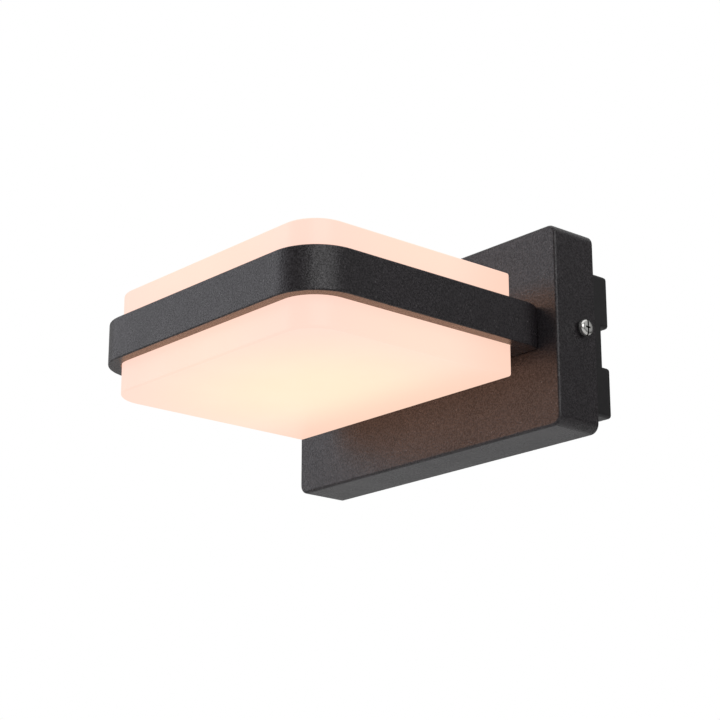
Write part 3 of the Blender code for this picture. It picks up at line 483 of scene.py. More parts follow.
@dataclass(frozen=True)
class Finish:
    """A surface with grain: a colour and its other tone, and how rough, metallic and bumpy it is."""

    name: str
    colour: Colour
    tone: Colour
    roughness: float
    roughness_spread: float = 0.08
    metallic: float = 0.0
    specular: float = 0.5
    coat: float = 0.0
    grain_scale: float = 1200.0
    grain_depth: float = 0.02 * MM
    speck_scale: float = 2600.0
    speck_share: float = 0.0
    speck: Colour = (0.5, 0.5, 0.5)
    pits: float = 0.0

    def material(self) -> bpy.types.Material:
        """Build the material, or return it if it is already there."""
        title = f"{self.name}_finish"
        if title in bpy.data.materials:
            return bpy.data.materials[title]
        made = bpy.data.materials.new(title)
        made.use_nodes = True
        self.dress(Recipe(made.node_tree))
        made.diffuse_color = rgba(self.colour)
        return made

    def dress(self, recipe: Recipe) -> None:
        """Write the material's nodes."""
        grain = recipe.node("Group", node_tree=surface_grain())
        grain.inputs["Scale"].default_value = self.grain_scale
        grain.inputs["Speck Scale"].default_value = self.speck_scale
        grain.inputs["Speck Share"].default_value = self.speck_share
        colour = recipe.blend(grain.outputs["Tone"], rgba(self.colour), rgba(self.tone))
        colour = recipe.blend(grain.outputs["Speck"], colour, rgba(self.speck))
        peaks = recipe.fade(grain.outputs["Height"], 0.4, 0.6)
        level = recipe.scaled(peaks, self.pits, 1 - 0.6 * self.pits)
        shade = recipe.node("VectorMath", {0: colour, "Scale": level}, operation="SCALE").outputs[0]
        colour = self.pattern(recipe, shade)
        spread = self.roughness_spread
        swing = recipe.scaled(grain.outputs["Tone"], spread, self.roughness - spread / 2)
        bump = recipe.node("Bump", {"Height": grain.outputs["Height"], "Distance": self.grain_depth})
        shader = recipe.node("BsdfPrincipled", {
            "Base Color": colour,
            "Roughness": swing,
            "Metallic": self.metallic,
            "Specular IOR Level": recipe.math("MULTIPLY", level, self.specular),
            "Coat Weight": self.coat,
            "Coat Roughness": 0.2,
            "Normal": bump.outputs[0],
        })
        self.light(recipe, shader)
        recipe.node("OutputMaterial", {"Surface": shader.outputs[0]})

    def pattern(self, recipe: Recipe, colour: Socket) -> Socket:
        """Add this finish's own pattern to the colour."""
        return colour

    def light(self, recipe: Recipe, shader: bpy.types.Node) -> None:
        """Make the surface glow, where the finish does."""


@dataclass(frozen=True)
class LitOpal(Finish):
    """Opal plastic lit from behind: creamy over the emitters and rosier towards its rim."""

    centre: Place = (0.0, 0.0, 0.0)
    reach: Place = (1.0, 1.0, 1.0)
    heart: Colour = (1.04, 0.785, 0.575)
    rim: Colour = (1.01, 0.67, 0.57)
    wall_end: Colour = (0.93, 0.6, 0.45)
    thrown: Colour = (1.34, 0.74, 0.5)
    wall_fade: Pair = mm(-95, -50)
    wall_share: float = 0.6

    def light(self, recipe: Recipe, shader: bpy.types.Node) -> None:
        """Let the glow fall from the middle of the cover to its edges."""
        place = recipe.node("TexCoord").outputs["Object"]
        scale = [1 / value for value in self.reach]
        offset = [-middle * factor for middle, factor in zip(self.centre, scale)]
        across = recipe.node("Mapping", {"Vector": place, "Location": offset, "Scale": scale})
        distance = recipe.node("VectorMath", {0: across.outputs[0]}, operation="LENGTH").outputs["Value"]
        cloud = recipe.node("TexNoise", {"Vector": place, "Scale": 18.0, "Detail": 1.0}).outputs[0]
        drift = recipe.math("ADD", distance, recipe.math("MULTIPLY", cloud, 0.12))
        glow = recipe.blend(recipe.fade(drift, 0.15, 1.3), rgba(self.heart), rgba(self.rim))
        depth = recipe.node("SeparateXYZ", {0: place}).outputs["Y"]
        shadow = recipe.math("MULTIPLY", recipe.fade(depth, *self.wall_fade), self.wall_share)
        glow = recipe.blend(shadow, glow, rgba(self.wall_end))
        seen = recipe.node("LightPath").outputs["Is Camera Ray"]
        recipe.tree.links.new(recipe.blend(seen, rgba(self.thrown), glow), shader.inputs["Emission Color"])
        shader.inputs["Emission Strength"].default_value = 1.0


@dataclass(frozen=True)
class BrushedMetal(Finish):
    """Turned or plated metal with fine rings and a little handling tarnish."""

    ring_axis: Axis = Axis.RIGHT

    def pattern(self, recipe: Recipe, colour: Socket) -> Socket:
        """Darken the metal in fine streaks round the turning axis."""
        place = recipe.node("TexCoord").outputs["Object"]
        stretch = [9000.0 if part else 300.0 for part in self.ring_axis.value]
        drawn = recipe.node("Mapping", {"Vector": place, "Scale": stretch})
        streak = recipe.node("TexNoise", {"Vector": drawn.outputs[0], "Scale": 1.0, "Detail": 2.0})
        share = recipe.math("MULTIPLY", recipe.fade(streak.outputs[0], 0.45, 0.7), 0.35)
        return recipe.blend(share, colour, rgba(tuple(0.55 * part for part in self.colour)))


@dataclass(frozen=True)
class SolderMask(Finish):
    """White solder mask over copper tracks that run along the rows of emitters."""

    pitch: float = 20 * MM
    first_row: float = -111.95 * MM
    track: Place = mm(3, 1.1, 56)

    def pattern(self, recipe: Recipe, colour: Socket) -> Socket:
        """Lay faint tracks across the board, one pair to a row."""
        place = recipe.node("TexCoord").outputs["Object"]
        apart = recipe.node("SeparateXYZ", {0: place})
        offset, half, reach = self.track
        rows = recipe.math("ADD", apart.outputs["Y"], -self.first_row)
        step = recipe.math("ADD", recipe.math("PINGPONG", rows, self.pitch / 2), -offset)
        track = recipe.math("LESS_THAN", recipe.math("ABSOLUTE", step), half)
        inside = recipe.math("LESS_THAN", recipe.math("ABSOLUTE", apart.outputs["X"]), reach)
        share = recipe.math("MULTIPLY", recipe.math("MULTIPLY", track, inside), 0.5)
        return recipe.blend(share, colour, (0.52, 0.5, 0.43, 1.0))


@dataclass(frozen=True)
class StripedSleeve(Finish):
    """Lead insulation with a second colour in stripes along it."""

    stripe: Colour = (0.75, 0.62, 0.05)
    stripes: int = 2

    def pattern(self, recipe: Recipe, colour: Socket) -> Socket:
        """Alternate the two colours round the lead, with its own UV."""
        around = recipe.node("SeparateXYZ", {0: recipe.node("UVMap", uv_map="UVMap").outputs[0]}).outputs["Y"]
        turn = recipe.math("FRACT", recipe.math("MULTIPLY", around, float(self.stripes)))
        return recipe.blend(recipe.math("GREATER_THAN", turn, 0.5), colour, rgba(self.stripe))


POWDER_COAT = Finish("charcoal_powder_coat", (0.0275, 0.0235, 0.0265), (0.022, 0.0188, 0.0212), 0.27,
                     roughness_spread=0.06, grain_scale=1250.0, grain_depth=0.3 * MM, speck_scale=1000.0,
                     speck_share=0.02, speck=(0.07, 0.064, 0.068), coat=0.1, pits=0.65)
MOULDED_BLACK = Finish("black_moulding", (0.012, 0.0112, 0.012), (0.017, 0.016, 0.017), 0.38,
                       grain_scale=1500.0, grain_depth=0.08 * MM)
RUBBER = Finish("black_rubber", (0.016, 0.016, 0.016), (0.026, 0.025, 0.024), 0.75,
                grain_scale=1100.0, grain_depth=0.04 * MM)
SILICONE = Finish("grey_silicone", (0.42, 0.42, 0.4), (0.36, 0.36, 0.35), 0.62, grain_scale=700.0)
STAINLESS = BrushedMetal("stainless_steel", (0.9, 0.89, 0.86), (0.8, 0.79, 0.76), 0.22, metallic=1.0,
                         grain_scale=2400.0, grain_depth=0.006 * MM)
ZINC = BrushedMetal("zinc_steel", (0.58, 0.6, 0.62), (0.46, 0.48, 0.5), 0.34, metallic=1.0,
                    grain_scale=2200.0, grain_depth=0.01 * MM, ring_axis=Axis.WALL)
BRASS = BrushedMetal("brass", (0.76, 0.56, 0.26), (0.62, 0.43, 0.18), 0.3, metallic=1.0,
                     grain_scale=2200.0, grain_depth=0.008 * MM, ring_axis=Axis.WALL)
# Painted shade: a dark colour laid on the walls and floor of the screw recesses.
RECESS_SHADE = Finish("screw_recess_shade", (0.07, 0.067, 0.064), (0.04, 0.038, 0.036), 0.5, metallic=0.7,
                grain_scale=2400.0)
NYLON = Finish("natural_nylon", (0.78, 0.75, 0.66), (0.7, 0.67, 0.57), 0.42, grain_scale=800.0)
DRIVER_CASE = Finish("white_driver_case", (0.78, 0.78, 0.75), (0.7, 0.7, 0.68), 0.48,
                     grain_scale=1000.0, grain_depth=0.03 * MM)
POTTING = Finish("grey_potting", (0.12, 0.12, 0.125), (0.09, 0.09, 0.095), 0.3, grain_scale=160.0,
                 grain_depth=0.2 * MM, coat=0.3)
EMITTER_BODY = Finish("emitter_body", (0.86, 0.86, 0.83), (0.8, 0.8, 0.78), 0.4, grain_scale=3000.0)
PHOSPHOR = Finish("emitter_phosphor", (0.9, 0.66, 0.12), (0.82, 0.56, 0.08), 0.3, grain_scale=4000.0)

WHITE_MASK = SolderMask("white_board", (0.82, 0.82, 0.8), (0.78, 0.78, 0.76), 0.35, grain_scale=1800.0)


def sleeve(name: str, colour: Colour) -> Finish:
    """The insulation of a lead in one colour."""
    return Finish(name, colour, tuple(0.8 * part for part in colour), 0.4, grain_scale=1500.0, coat=0.15)


def finished(piece: Piece, look: Finish, *nodes: str, body: str = BODY, angle: float = CREASE) -> Piece:
    """Smooth and paint a piece of one finish, and hand it over."""
    return hand_over(paint(smooth(piece, angle), look.material()), look.name, *nodes, body=body)


# ---- fasteners -----------------------------------------------------------------------------
class Drive(Enum):
    """The recess in a screw's head."""

    CROSS = "cross"
    SLOT = "slot"
    COMBINED = "combined"


@dataclass(frozen=True)
class PanScrew:
    """A pan-head machine screw, built on +Z with its bearing face at the origin."""

    shank: float
    head: float
    height: float
    length: float
    look: Finish
    drive: Drive = Drive.CROSS
    pitch: float = 0.7 * MM
    sides: int = 40
    depth: float = 0.45
    blade: float = 0.13
    narrowed: float = 0.55

    def build(self, name: str, seat: Sequence[float], axis: Axis) -> Piece:
        """Model the screw and put it in place.

        Args:
            name: name of the piece.
            seat: centre of the head's bearing face.
            axis: the way the head points.

        Returns:
            The screw.
        """
        screw = paint(turned(name, [*self.thread(), *self.pan()], self.sides), self.look.material())
        carve(screw, *self.recess())
        self.shade_recess(screw)
        screw.data.transform(Matrix.Translation(seat) @ axis.turn)
        return smooth(screw)

    def fit(self, node: str, metal: str, seat: Sequence[float], axis: Axis, body: str = BODY) -> None:
        """Build the screw that stands for a frame node and hand it over."""
        hand_over(self.build(f"{node}_{metal}", seat, axis), self.look.name, node, body=body)

    def fit_row(self, stem: str, count: int, metal: str, seat: Pair, axis: Axis) -> None:
        """Fit a numbered row of these screws, each one across where its node is.

        Args:
            stem: name of the nodes without their numbers.
            count: number of screws.
            metal: last word of each screw's name.
            seat: the seats' depth and height.
            axis: the way the heads point.
        """
        for index in range(1, count + 1):
            node = f"{stem}_{index}"
            self.fit(node, metal, (centre_of(node).x, *seat), axis)

    def shade_recess(self, screw: Piece) -> None:
        """Paint the walls and floor of the recess darker, as painted shade, with a rougher finish."""
        screw.data.materials.append(RECESS_SHADE.material())
        deep = self.depth * self.height

        def sunk(centre: Vector, normal: Vector) -> bool:
            inward = centre.xy.length < 0.93 * self.head
            wall = abs(normal.z) < 0.35 and centre.z > 0.9 * deep
            floor = normal.z > 0.9 and abs(centre.z - deep) < 0.1 * self.height
            return inward and (wall or floor)

        with editing(screw):
            pick_faces(screw, sunk)
            screw.active_material_index = 1
            bpy.ops.object.material_slot_assign()

    def thread(self) -> list[Pair]:
        """The shank's profile from its tip up: a tapered start and one ridge to each turn."""
        root = self.shank - 0.45 * self.pitch
        start = 0.6 * self.pitch - self.length
        turns = int((self.length - self.pitch) / self.pitch)
        steps = [(root * 0.8, -self.length), (root, start)]
        for turn in range(turns):
            low = start + turn * self.pitch
            steps += [(self.shank, low + 0.45 * self.pitch), (root, low + 0.95 * self.pitch)]
        return [*steps, (root, 0.0)]

    def pan(self) -> list[Pair]:
        """The head's profile from its bearing face up."""
        soft = 0.06 * self.height
        rise = 0.58 * self.height
        steps = [(self.head - soft, 0.0), (self.head, soft)]
        for index in range(1, 8):
            angle = index / 7 * math.pi / 2 * 0.93
            drop = self.head * 0.36 * (1 - math.cos(angle))
            steps.append((self.head - drop, self.height - rise + rise * math.sin(angle)))
        return [*steps, (steps[-1][0] * 0.6, self.height)]

    def recess(self) -> list[Piece]:
        """The cutters of the drive: tapered blades for a cross, a straight one for a slot."""
        top, deep = self.height + THROUGH, self.height * self.depth
        blades = {Drive.CROSS: (0.5, 0.5), Drive.SLOT: (1.2,), Drive.COMBINED: (1.2, 0.5)}[self.drive]
        cutters = []
        for index, share in enumerate(blades):
            reach, half = self.head * share, self.head * self.blade
            if index:
                reach, half = half, reach
            cutter = block(f"blade_{index}", (-reach, -half, deep), (reach, half, top))
            with editing(cutter):
                pick_faces(cutter, lambda centre, normal: normal.z < -0.99)
                lengthwise = self.narrowed if share < 1 else 1.0
                taper = (0.8, lengthwise, 1) if index else (lengthwise, 0.8, 1)
                bpy.ops.transform.resize(value=taper)
            cutters.append(cutter)
        return cutters


def ring(name: str, outer: float, bore: float, start: Sequence[float], axis: Axis, height: float,
         edge: float) -> Piece:
    """A flat round ring with softened rims.

    Args:
        name: name of the piece.
        outer: outer radius.
        bore: radius of the hole.
        start: centre of its first face.
        axis: the way its height runs.
        height: its height.
        edge: radius of the softened rims.

    Returns:
        The ring.
    """
    sides = 48
    made = rod(name, outer, start, axis, height, sides)
    hole_start = Vector(start) - axis.vector * THROUGH
    carve(made, rod("bore", bore, hole_start, axis, height + 2 * THROUGH, sides))
    return round_edges(made, lambda a, b, angle: angle > 60, edge, 3)


# ---- wall side -----------------------------------------------------------------------------
@dataclass(frozen=True)
class WallBracket:
    """The moulded bracket: two wall pads, the plate inside the canopy, two ears and its seal."""

    channel: Place = mm(-5, -33.1, -13.3)
    pads: Pair = mm(-58.3, 13.3)
    pad_edge: float = 1.7 * MM
    plate_half: float = 92 * MM
    plate_thick: float = 4.2 * MM
    plate_rounding: Pair = mm(1.8, 0.5)
    pocket_front: float = -7.4 * MM
    pocket_spans: tuple[Pair, ...] = (mm(7, 26), mm(50, 92.1))
    pocket_rows: tuple[Pair, ...] = (mm(-55.5, -35.9), mm(-10.5, 10.5))
    pocket_corner: float = 1.6 * MM
    slot: Place = mm(38, 12, 5)
    slot_front: float = -20 * MM
    slot_rows: Pair = mm(-45.7, 0)
    cable_row: float = -23.2 * MM
    cable_radius: float = 8 * MM
    groove: Place = mm(2.6, -13.4, -11.2)
    groove_margin: float = 9 * MM
    ear: Place = mm(4, 10, 3)
    ear_face: float = 92.1 * MM
    ear_root: float = 3.6 * MM
    gusset_front: float = 5 * MM
    gusset_chamfer: float = 4.4 * MM
    drill_face: float = -14.4 * MM
    taps: tuple[Pair, ...] = (mm(-5, 1.8), mm(5, 1.8), mm(44, 2.3))
    lock_thread: Place = mm(80, -19.7, 2.3)
    seal_corner: float = 2 * MM
    seal_width: float = 2.5 * MM
    seal_rounding: float = 0.55 * MM

    def build(self) -> None:
        """Model the bracket, its perimeter seal and the cable grommet."""
        self.moulding()
        self.seal()
        self.grommet()

    def moulding(self) -> None:
        """Shape the bracket from its wall pads forwards."""
        low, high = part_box("wall_bracket")
        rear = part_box("canopy")[1].y + GAP
        body = block("wall_bracket_moulding", (low.x, rear, self.pads[0]), (high.x, 0.0, self.pads[1]))
        floor, below, above = self.channel
        carve(body, block("channel", (low.x - THROUGH, floor, below), (high.x + THROUGH, THROUGH, above)))
        behind = rear + THROUGH
        round_edges(body, lambda a, b, angle: angle > 45 and (a.y + b.y) / 2 > behind, self.pad_edge)
        corner, edge = self.plate_rounding
        half = self.plate_half
        plate = block("plate", (-half, rear - self.plate_thick, low.z), (half, rear, high.z))
        round_edges(plate, along(Axis.WALL), corner)
        round_edges(plate, rim_at(Axis.FRONT, self.plate_thick - rear), edge, 2)
        weld_on(body, plate)
        centre = (low.z + high.z) / 2
        for side in SIDES:
            weld_on(body, self.ear_block(side, low.y, rear - self.ear_root, centre))
        self.cut_groove(body, low.z, high.z)
        self.cut_pockets(body)
        self.cut_holes(body, centre)
        finished(body, MOULDED_BLACK, "wall_bracket", angle=35)

    def ear_block(self, side: int, front: float, rear: float, centre: float) -> Piece:
        """One of the ears that the lock screws thread into, with a gusset behind it."""
        thick, tall, radius = self.ear
        outer = side * self.ear_face
        inner = outer - side * thick
        ear = block("ear", (outer, front, centre - tall), (inner, rear, centre + tall))
        round_edges(ear, along(Axis.RIGHT, lambda place: place.y < front + MM), radius, 5)
        start = front + self.gusset_front
        gusset = block("gusset", (inner + side * 0.5 * MM, start, centre - MM),
                       (inner - side * 5 * MM, rear, centre + MM))
        with editing(gusset):
            pick_edges(gusset, lambda a, b, angle: along(Axis.UP)(a, b, angle)
                       and a.y < start + MM and abs(a.x) < abs(inner) - MM)
            bpy.ops.mesh.bevel(offset_type="OFFSET", offset=self.gusset_chamfer, segments=1, affect="EDGES")
        return weld_on(ear, gusset)

    def cut_groove(self, body: Piece, below: float, above: float) -> None:
        """Run the seal's groove round the plate's edge."""
        deep, front, rear = self.groove
        far = self.groove_margin
        half = self.plate_half + far
        groove = block("groove", (-half, front, below - far), (half, rear, above + far))
        half = self.plate_half - deep
        core = block("core", (-half, front - THROUGH, below + deep), (half, rear + THROUGH, above - deep))
        carve(body, carve(groove, core))

    def cut_pockets(self, body: Piece) -> None:
        """Hollow the back of both pads, leaving ribs and the screw slots' walls."""
        across, length, width = self.slot
        for side in SIDES:
            for (inner, outer), (below, above) in product(self.pocket_spans, self.pocket_rows):
                pocket = block("pocket", (side * inner, self.pocket_front, below),
                               (side * outer, THROUGH, above))
                carve(body, round_edges(pocket, along(Axis.WALL), self.pocket_corner, 3))
            for row in self.slot_rows:
                hole = block("slot", (side * across - length / 2, self.slot_front, row - width / 2),
                             (side * across + length / 2, THROUGH, row + width / 2))
                carve(body, round_edges(hole, along(Axis.WALL), width * 0.49, 6))

    def cut_holes(self, body: Piece, centre: float) -> None:
        """Drill the cable hole, the lock threads and the tapped holes for the terminals."""
        face = self.drill_face - THROUGH
        drills = [rod("cable", self.cable_radius, (0, face, self.cable_row), Axis.WALL, 18 * MM, 48)]
        for across, radius in self.taps:
            start = (across, face, Terminals.row)
            drills.append(rod("tapped", radius, start, Axis.WALL, 8 * MM + THROUGH, 24))
        start, depth, radius = self.lock_thread
        for side, way, _ in FLANKS:
            drills.append(rod("lock_thread", radius, (side * start, depth, centre), way, 20 * MM, 28))
        carve(body, *drills)

    def seal(self) -> None:
        """The rubber cord in the groove, rounded where it bears on the canopy."""
        low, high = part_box("perimeter_seal")
        made = round_edges(block("perimeter_seal_cord", low, high), along(Axis.WALL), self.seal_corner)
        inset = Vector((self.seal_width, -THROUGH, self.seal_width))
        carve(made, block("core", low + inset, high - inset))
        rim_depth = 0.1 * MM
        round_edges(made, lambda a, b, angle: angle > 60 and abs(a.y - b.y) < rim_depth,
                    self.seal_rounding, 3)
        finished(made, RUBBER, "perimeter_seal")

    def grommet(self) -> None:
        """The lipped grommet that the supply cable comes in through."""
        low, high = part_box("entry_grommet")
        length = high.y - low.y
        radius = (high.x - low.x) / 2
        lip = [(radius - 0.6 * MM, 0.0), (radius, 0.5 * MM), (radius, 1.5 * MM), (radius - 0.5 * MM, 2 * MM)]
        neck = [mm(7.7, 2), (7.7 * MM, length - 1.2 * MM), (7.1 * MM, length)]
        made = turned("entry_grommet_rubber", [*lip, *neck], 48)
        carve(made, turned("bore", [(5.2 * MM, -THROUGH), mm(5.2, 0.2), mm(4, 2),
                                    (4 * MM, length - MM), (4.8 * MM, length + THROUGH)]))
        made.data.transform(Matrix.Translation((0, low.y, self.cable_row)) @ Axis.WALL.turn)
        finished(made, RUBBER, "entry_grommet")


@dataclass(frozen=True)
class Terminals:
    """The supply terminals on the bracket's plate: the block, its screws and the earth stud."""

    poles: Place = mm(-10, 0, 10)
    row: float = -48.3 * MM
    fixings: Pair = mm(-5, 5)
    way: Pair = mm(-19.7, 1.7)
    mouth: Place = mm(2.6, 1.2, 0.8)
    notch: Place = mm(0.8, 5, 2.4)
    clamp_seat: float = -24.8 * MM
    fixing_seat: float = -21 * MM
    earth: float = 44 * MM
    earth_seat: float = -16.2 * MM
    tag_radius: float = 3.9 * MM

    def build(self) -> None:
        """Model the block, the three clamps, both fixings and the earth stud."""
        self.block()
        clamp = PanScrew(*mm(1.2, 1.5, 1.6, 3.7), BRASS, Drive.SLOT, 0.5 * MM, 28)
        clamp.fit_row("clamp_screw", len(self.poles), "brass", (self.clamp_seat, self.row), Axis.FRONT)
        fixing = PanScrew(*mm(1.5, 2.8, 2, 10.2), ZINC, Drive.SLOT, 0.5 * MM, 32)
        fixing.fit_row("terminal_screw", len(self.fixings), "zinc", (self.fixing_seat, self.row), Axis.FRONT)
        self.earth_stud()

    def block(self) -> None:
        """Shape the moulded block, with wells, wire ways and notches between the poles."""
        low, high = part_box("terminal_block")
        made = block("terminal_block_nylon", low, high)
        near = low.y + MM
        round_edges(made, lambda a, b, angle: angle > 45 and min(a.y, b.y) < near, 0.6 * MM, 3)
        face = low.y - THROUGH
        depth, way_radius = self.way
        half, sunk, corner = self.mouth
        cutters = []
        for pole in self.poles:
            cutters.append(rod("clamp_well", 1.8 * MM, (pole, face, self.row), Axis.WALL, 8 * MM, 28))
            cutters.append(rod("way", way_radius, (pole, depth, low.z - THROUGH), Axis.UP, 17 * MM, 28))
            mouth = block("mouth", (pole - half, depth - half, high.z - sunk),
                          (pole + half, depth + half, high.z + THROUGH))
            cutters.append(round_edges(mouth, along(Axis.UP), corner, 3))
        half, deep, tall = self.notch
        for across in self.fixings:
            cutters.append(rod("well", 3.1 * MM, (across, face, self.row), Axis.WALL, 7 * MM, 32))
            cutters.append(rod("hole", 1.8 * MM, (across, low.y, self.row), Axis.WALL, 14 * MM, 24))
            for below in (low.z - THROUGH, high.z - tall):
                cutters.append(block("notch", (across - half, face, below),
                                     (across + half, low.y + deep, below + tall + THROUGH)))
        finished(carve(made, *cutters), NYLON, "terminal_block")

    def earth_stud(self) -> None:
        """The brass earth screw and the crimped ring tag below its head."""
        screw = PanScrew(*mm(2, 3.9, 2.6, 8), BRASS, Drive.COMBINED)
        screw.fit("earth_screw", "brass", (self.earth, self.earth_seat, self.row), Axis.FRONT)
        low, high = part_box("earth_tag")
        centre = (self.earth, low.y, self.row)
        tag = rod("earth_tag_plated", self.tag_radius, centre, Axis.WALL, high.y - low.y)
        strap_half, crimp_half = mm(1.4, 1.5)
        strap = block("strap", (low.x + 3 * MM, low.y, self.row - strap_half),
                      (self.earth, high.y, self.row + strap_half))
        crimp = block("crimp", (low.x, low.y, self.row - crimp_half),
                      (low.x + 4 * MM, high.y, self.row + crimp_half))
        round_edges(crimp, along(Axis.RIGHT), 0.5 * MM, 3)
        weld_on(tag, strap, crimp)
        start = (self.earth, low.y - THROUGH, self.row)
        finished(carve(tag, rod("eye", 2.3 * MM, start, Axis.WALL, 4 * MM, 32)), ZINC, "earth_tag")


# ---- canopy --------------------------------------------------------------------------------
@dataclass(frozen=True)
class Canopy:
    """The box that hides the bracket, with the driver on its inside and a lock screw each side."""

    wall: float = 3 * MM
    corner: float = 5 * MM
    rim: float = 1.5 * MM
    back_rim: float = 0.35 * MM
    boss: Place = mm(50.5, 9.7, 4)
    boss_radius: float = 4 * MM
    head_holes: tuple[float, ...] = mm(-66, -24, 24, 66)
    axis_height: float = -17.3 * MM
    lock_depth: float = -19.7 * MM
    lock_seat: float = 96.9 * MM
    washer_seat: float = 95.8 * MM
    clearance: float = 2.3 * MM
    pilot: float = 1.8 * MM
    case_half: float = 46 * MM
    case_edge: float = 1.2 * MM
    flange_front: float = -29.7 * MM
    flange: Place = mm(2, 4.5, 2)
    lid: Place = mm(2.5, 0.4, 1.5)
    pour: Place = mm(2.8, 0.9, 1.3)
    pour_sunk: float = 0.2 * MM
    driver_seat: float = -27.4 * MM

    def build(self) -> None:
        """Model the shell, the lock screws with their washers, and the driver inside."""
        self.shell()
        self.locks()
        self.driver()

    def shell(self) -> None:
        """Draw the shell: round its corners and front rim, then push its back inwards."""
        low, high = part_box("canopy")
        made = block("canopy_shell", low, high)
        round_edges(made, along(Axis.WALL), self.corner, 8)
        round_edges(made, rim_at(Axis.FRONT, -low.y), self.rim, 5)
        inner = low.y + self.wall
        with editing(made):
            pick_faces(made, lambda centre, normal: normal.y > 0.99)
            bpy.ops.mesh.inset(thickness=self.wall)
            bpy.ops.mesh.extrude_region_move(TRANSFORM_OT_translate={"value": (0, inner - high.y, 0)})
        round_edges(made, rim_at(Axis.WALL, high.y), self.back_rim, 2)
        across, height, tall = self.boss
        for side in SIDES:
            start = (side * across, inner - MM, height)
            boss = rod("boss", self.boss_radius, start, Axis.WALL, tall + MM, 32)
            weld_on(made, round_edges(boss, rim_at(Axis.WALL, inner + tall), 0.5 * MM, 2))
            start = (side * across, inner + 0.6 * MM, height)
            carve(made, rod("pilot", self.pilot, start, Axis.WALL, 6 * MM, 20))
        face = low.y - THROUGH
        drills = [rod("lead_hole", 4.5 * MM, (0, face, self.axis_height), Axis.WALL, 6 * MM, 32)]
        for hole in self.head_holes:
            start = (hole, face, self.axis_height)
            drills.append(rod("head_hole", self.clearance, start, Axis.WALL, 6 * MM, 28))
        for side, way, _ in FLANKS:
            start = (side * 90 * MM, self.lock_depth, self.axis_height)
            drills.append(rod("lock_hole", self.clearance, start, way, 8 * MM, 28))
        finished(carve(made, *drills), POWDER_COAT, "canopy", angle=30)

    def locks(self) -> None:
        """The two side screws, each with a rubber washer under its head."""
        screw = PanScrew(*mm(2, 4, 2.46, 9.5), STAINLESS, Drive.COMBINED, 0.7 * MM, 56)
        for side, way, name in FLANKS:
            node = f"lock_screw_{name}"
            screw.fit(node, "steel", (side * self.lock_seat, self.lock_depth, self.axis_height), way, node)
            node = f"lock_washer_{name}"
            start = (side * self.washer_seat, self.lock_depth, self.axis_height)
            washer = ring(f"{node}_rubber", *mm(3.7, 2.3), start, way, *mm(0.8, 0.22))
            finished(washer, RUBBER, node, body=node)

    def driver(self) -> None:
        """The potted driver on its two flanges, with its screws."""
        low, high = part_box("led_driver")
        half, rear = self.case_half, high.y
        made = block("led_driver_case", (-half, low.y, low.z), (half, rear, high.z))
        round_edges(made, lambda a, b, angle: angle > 45, self.case_edge)
        across, height, _ = self.boss
        front = self.flange_front
        thick, tall, corner = self.flange
        flange = block("flange", (low.x, front, height - tall), (high.x, front + thick, height + tall))
        weld_on(made, round_edges(flange, along(Axis.WALL), corner))
        inset, deep, corner = self.lid
        lid = block("lid_seam", (inset - half, rear - deep, low.z + inset),
                    (half - inset, rear + THROUGH, high.z - inset))
        round_edges(lid, along(Axis.WALL), corner)
        holes = (rod("hole", self.pilot, (side * across, front - THROUGH, height), Axis.WALL, 4 * MM, 24)
                 for side in SIDES)
        carve(made, lid, *holes)
        paint(smooth(made), DRIVER_CASE.material())
        inset, deep, corner = self.pour
        pour = block("pour", (inset - half, rear - deep, low.z + inset),
                     (half - inset, rear - self.pour_sunk, high.z - inset))
        round_edges(pour, along(Axis.WALL), corner)
        gather(made, paint(smooth(pour), POTTING.material()))
        hand_over(made, "white_driver_case", "led_driver")
        screw = PanScrew(*mm(1.5, 2.8, 2, 5.5), ZINC, Drive.SLOT, 0.5 * MM, 32)
        screw.fit_row("driver_screw", len(SIDES), "zinc", (self.driver_seat, height), Axis.WALL)


# ---- light head ----------------------------------------------------------------------------
@dataclass(frozen=True)
class Cavity:
    """The outline of the band's opening, which the covers, seals and boards keep to."""

    half_width: float = 78.4 * MM
    front: float = -174.0 * MM
    rear: float = -49.9 * MM
    front_radius: float = 17.9 * MM
    rear_radius: float = 2.0 * MM

    def fill(self, name: str, below: float, above: float, inset: float = 0.0) -> Piece:
        """Fill the outline between two heights.

        Args:
            name: name of the piece.
            below: height of its underside.
            above: height of its top.
            inset: distance kept from the outline.

        Returns:
            The upright block.
        """
        half = self.half_width - inset
        low, high = (-half, self.front + inset, below), (half, self.rear - inset, above)
        front = self.front_radius - inset
        return rounded_block(name, low, high, front, max(self.rear_radius - inset, 0.5 * MM))


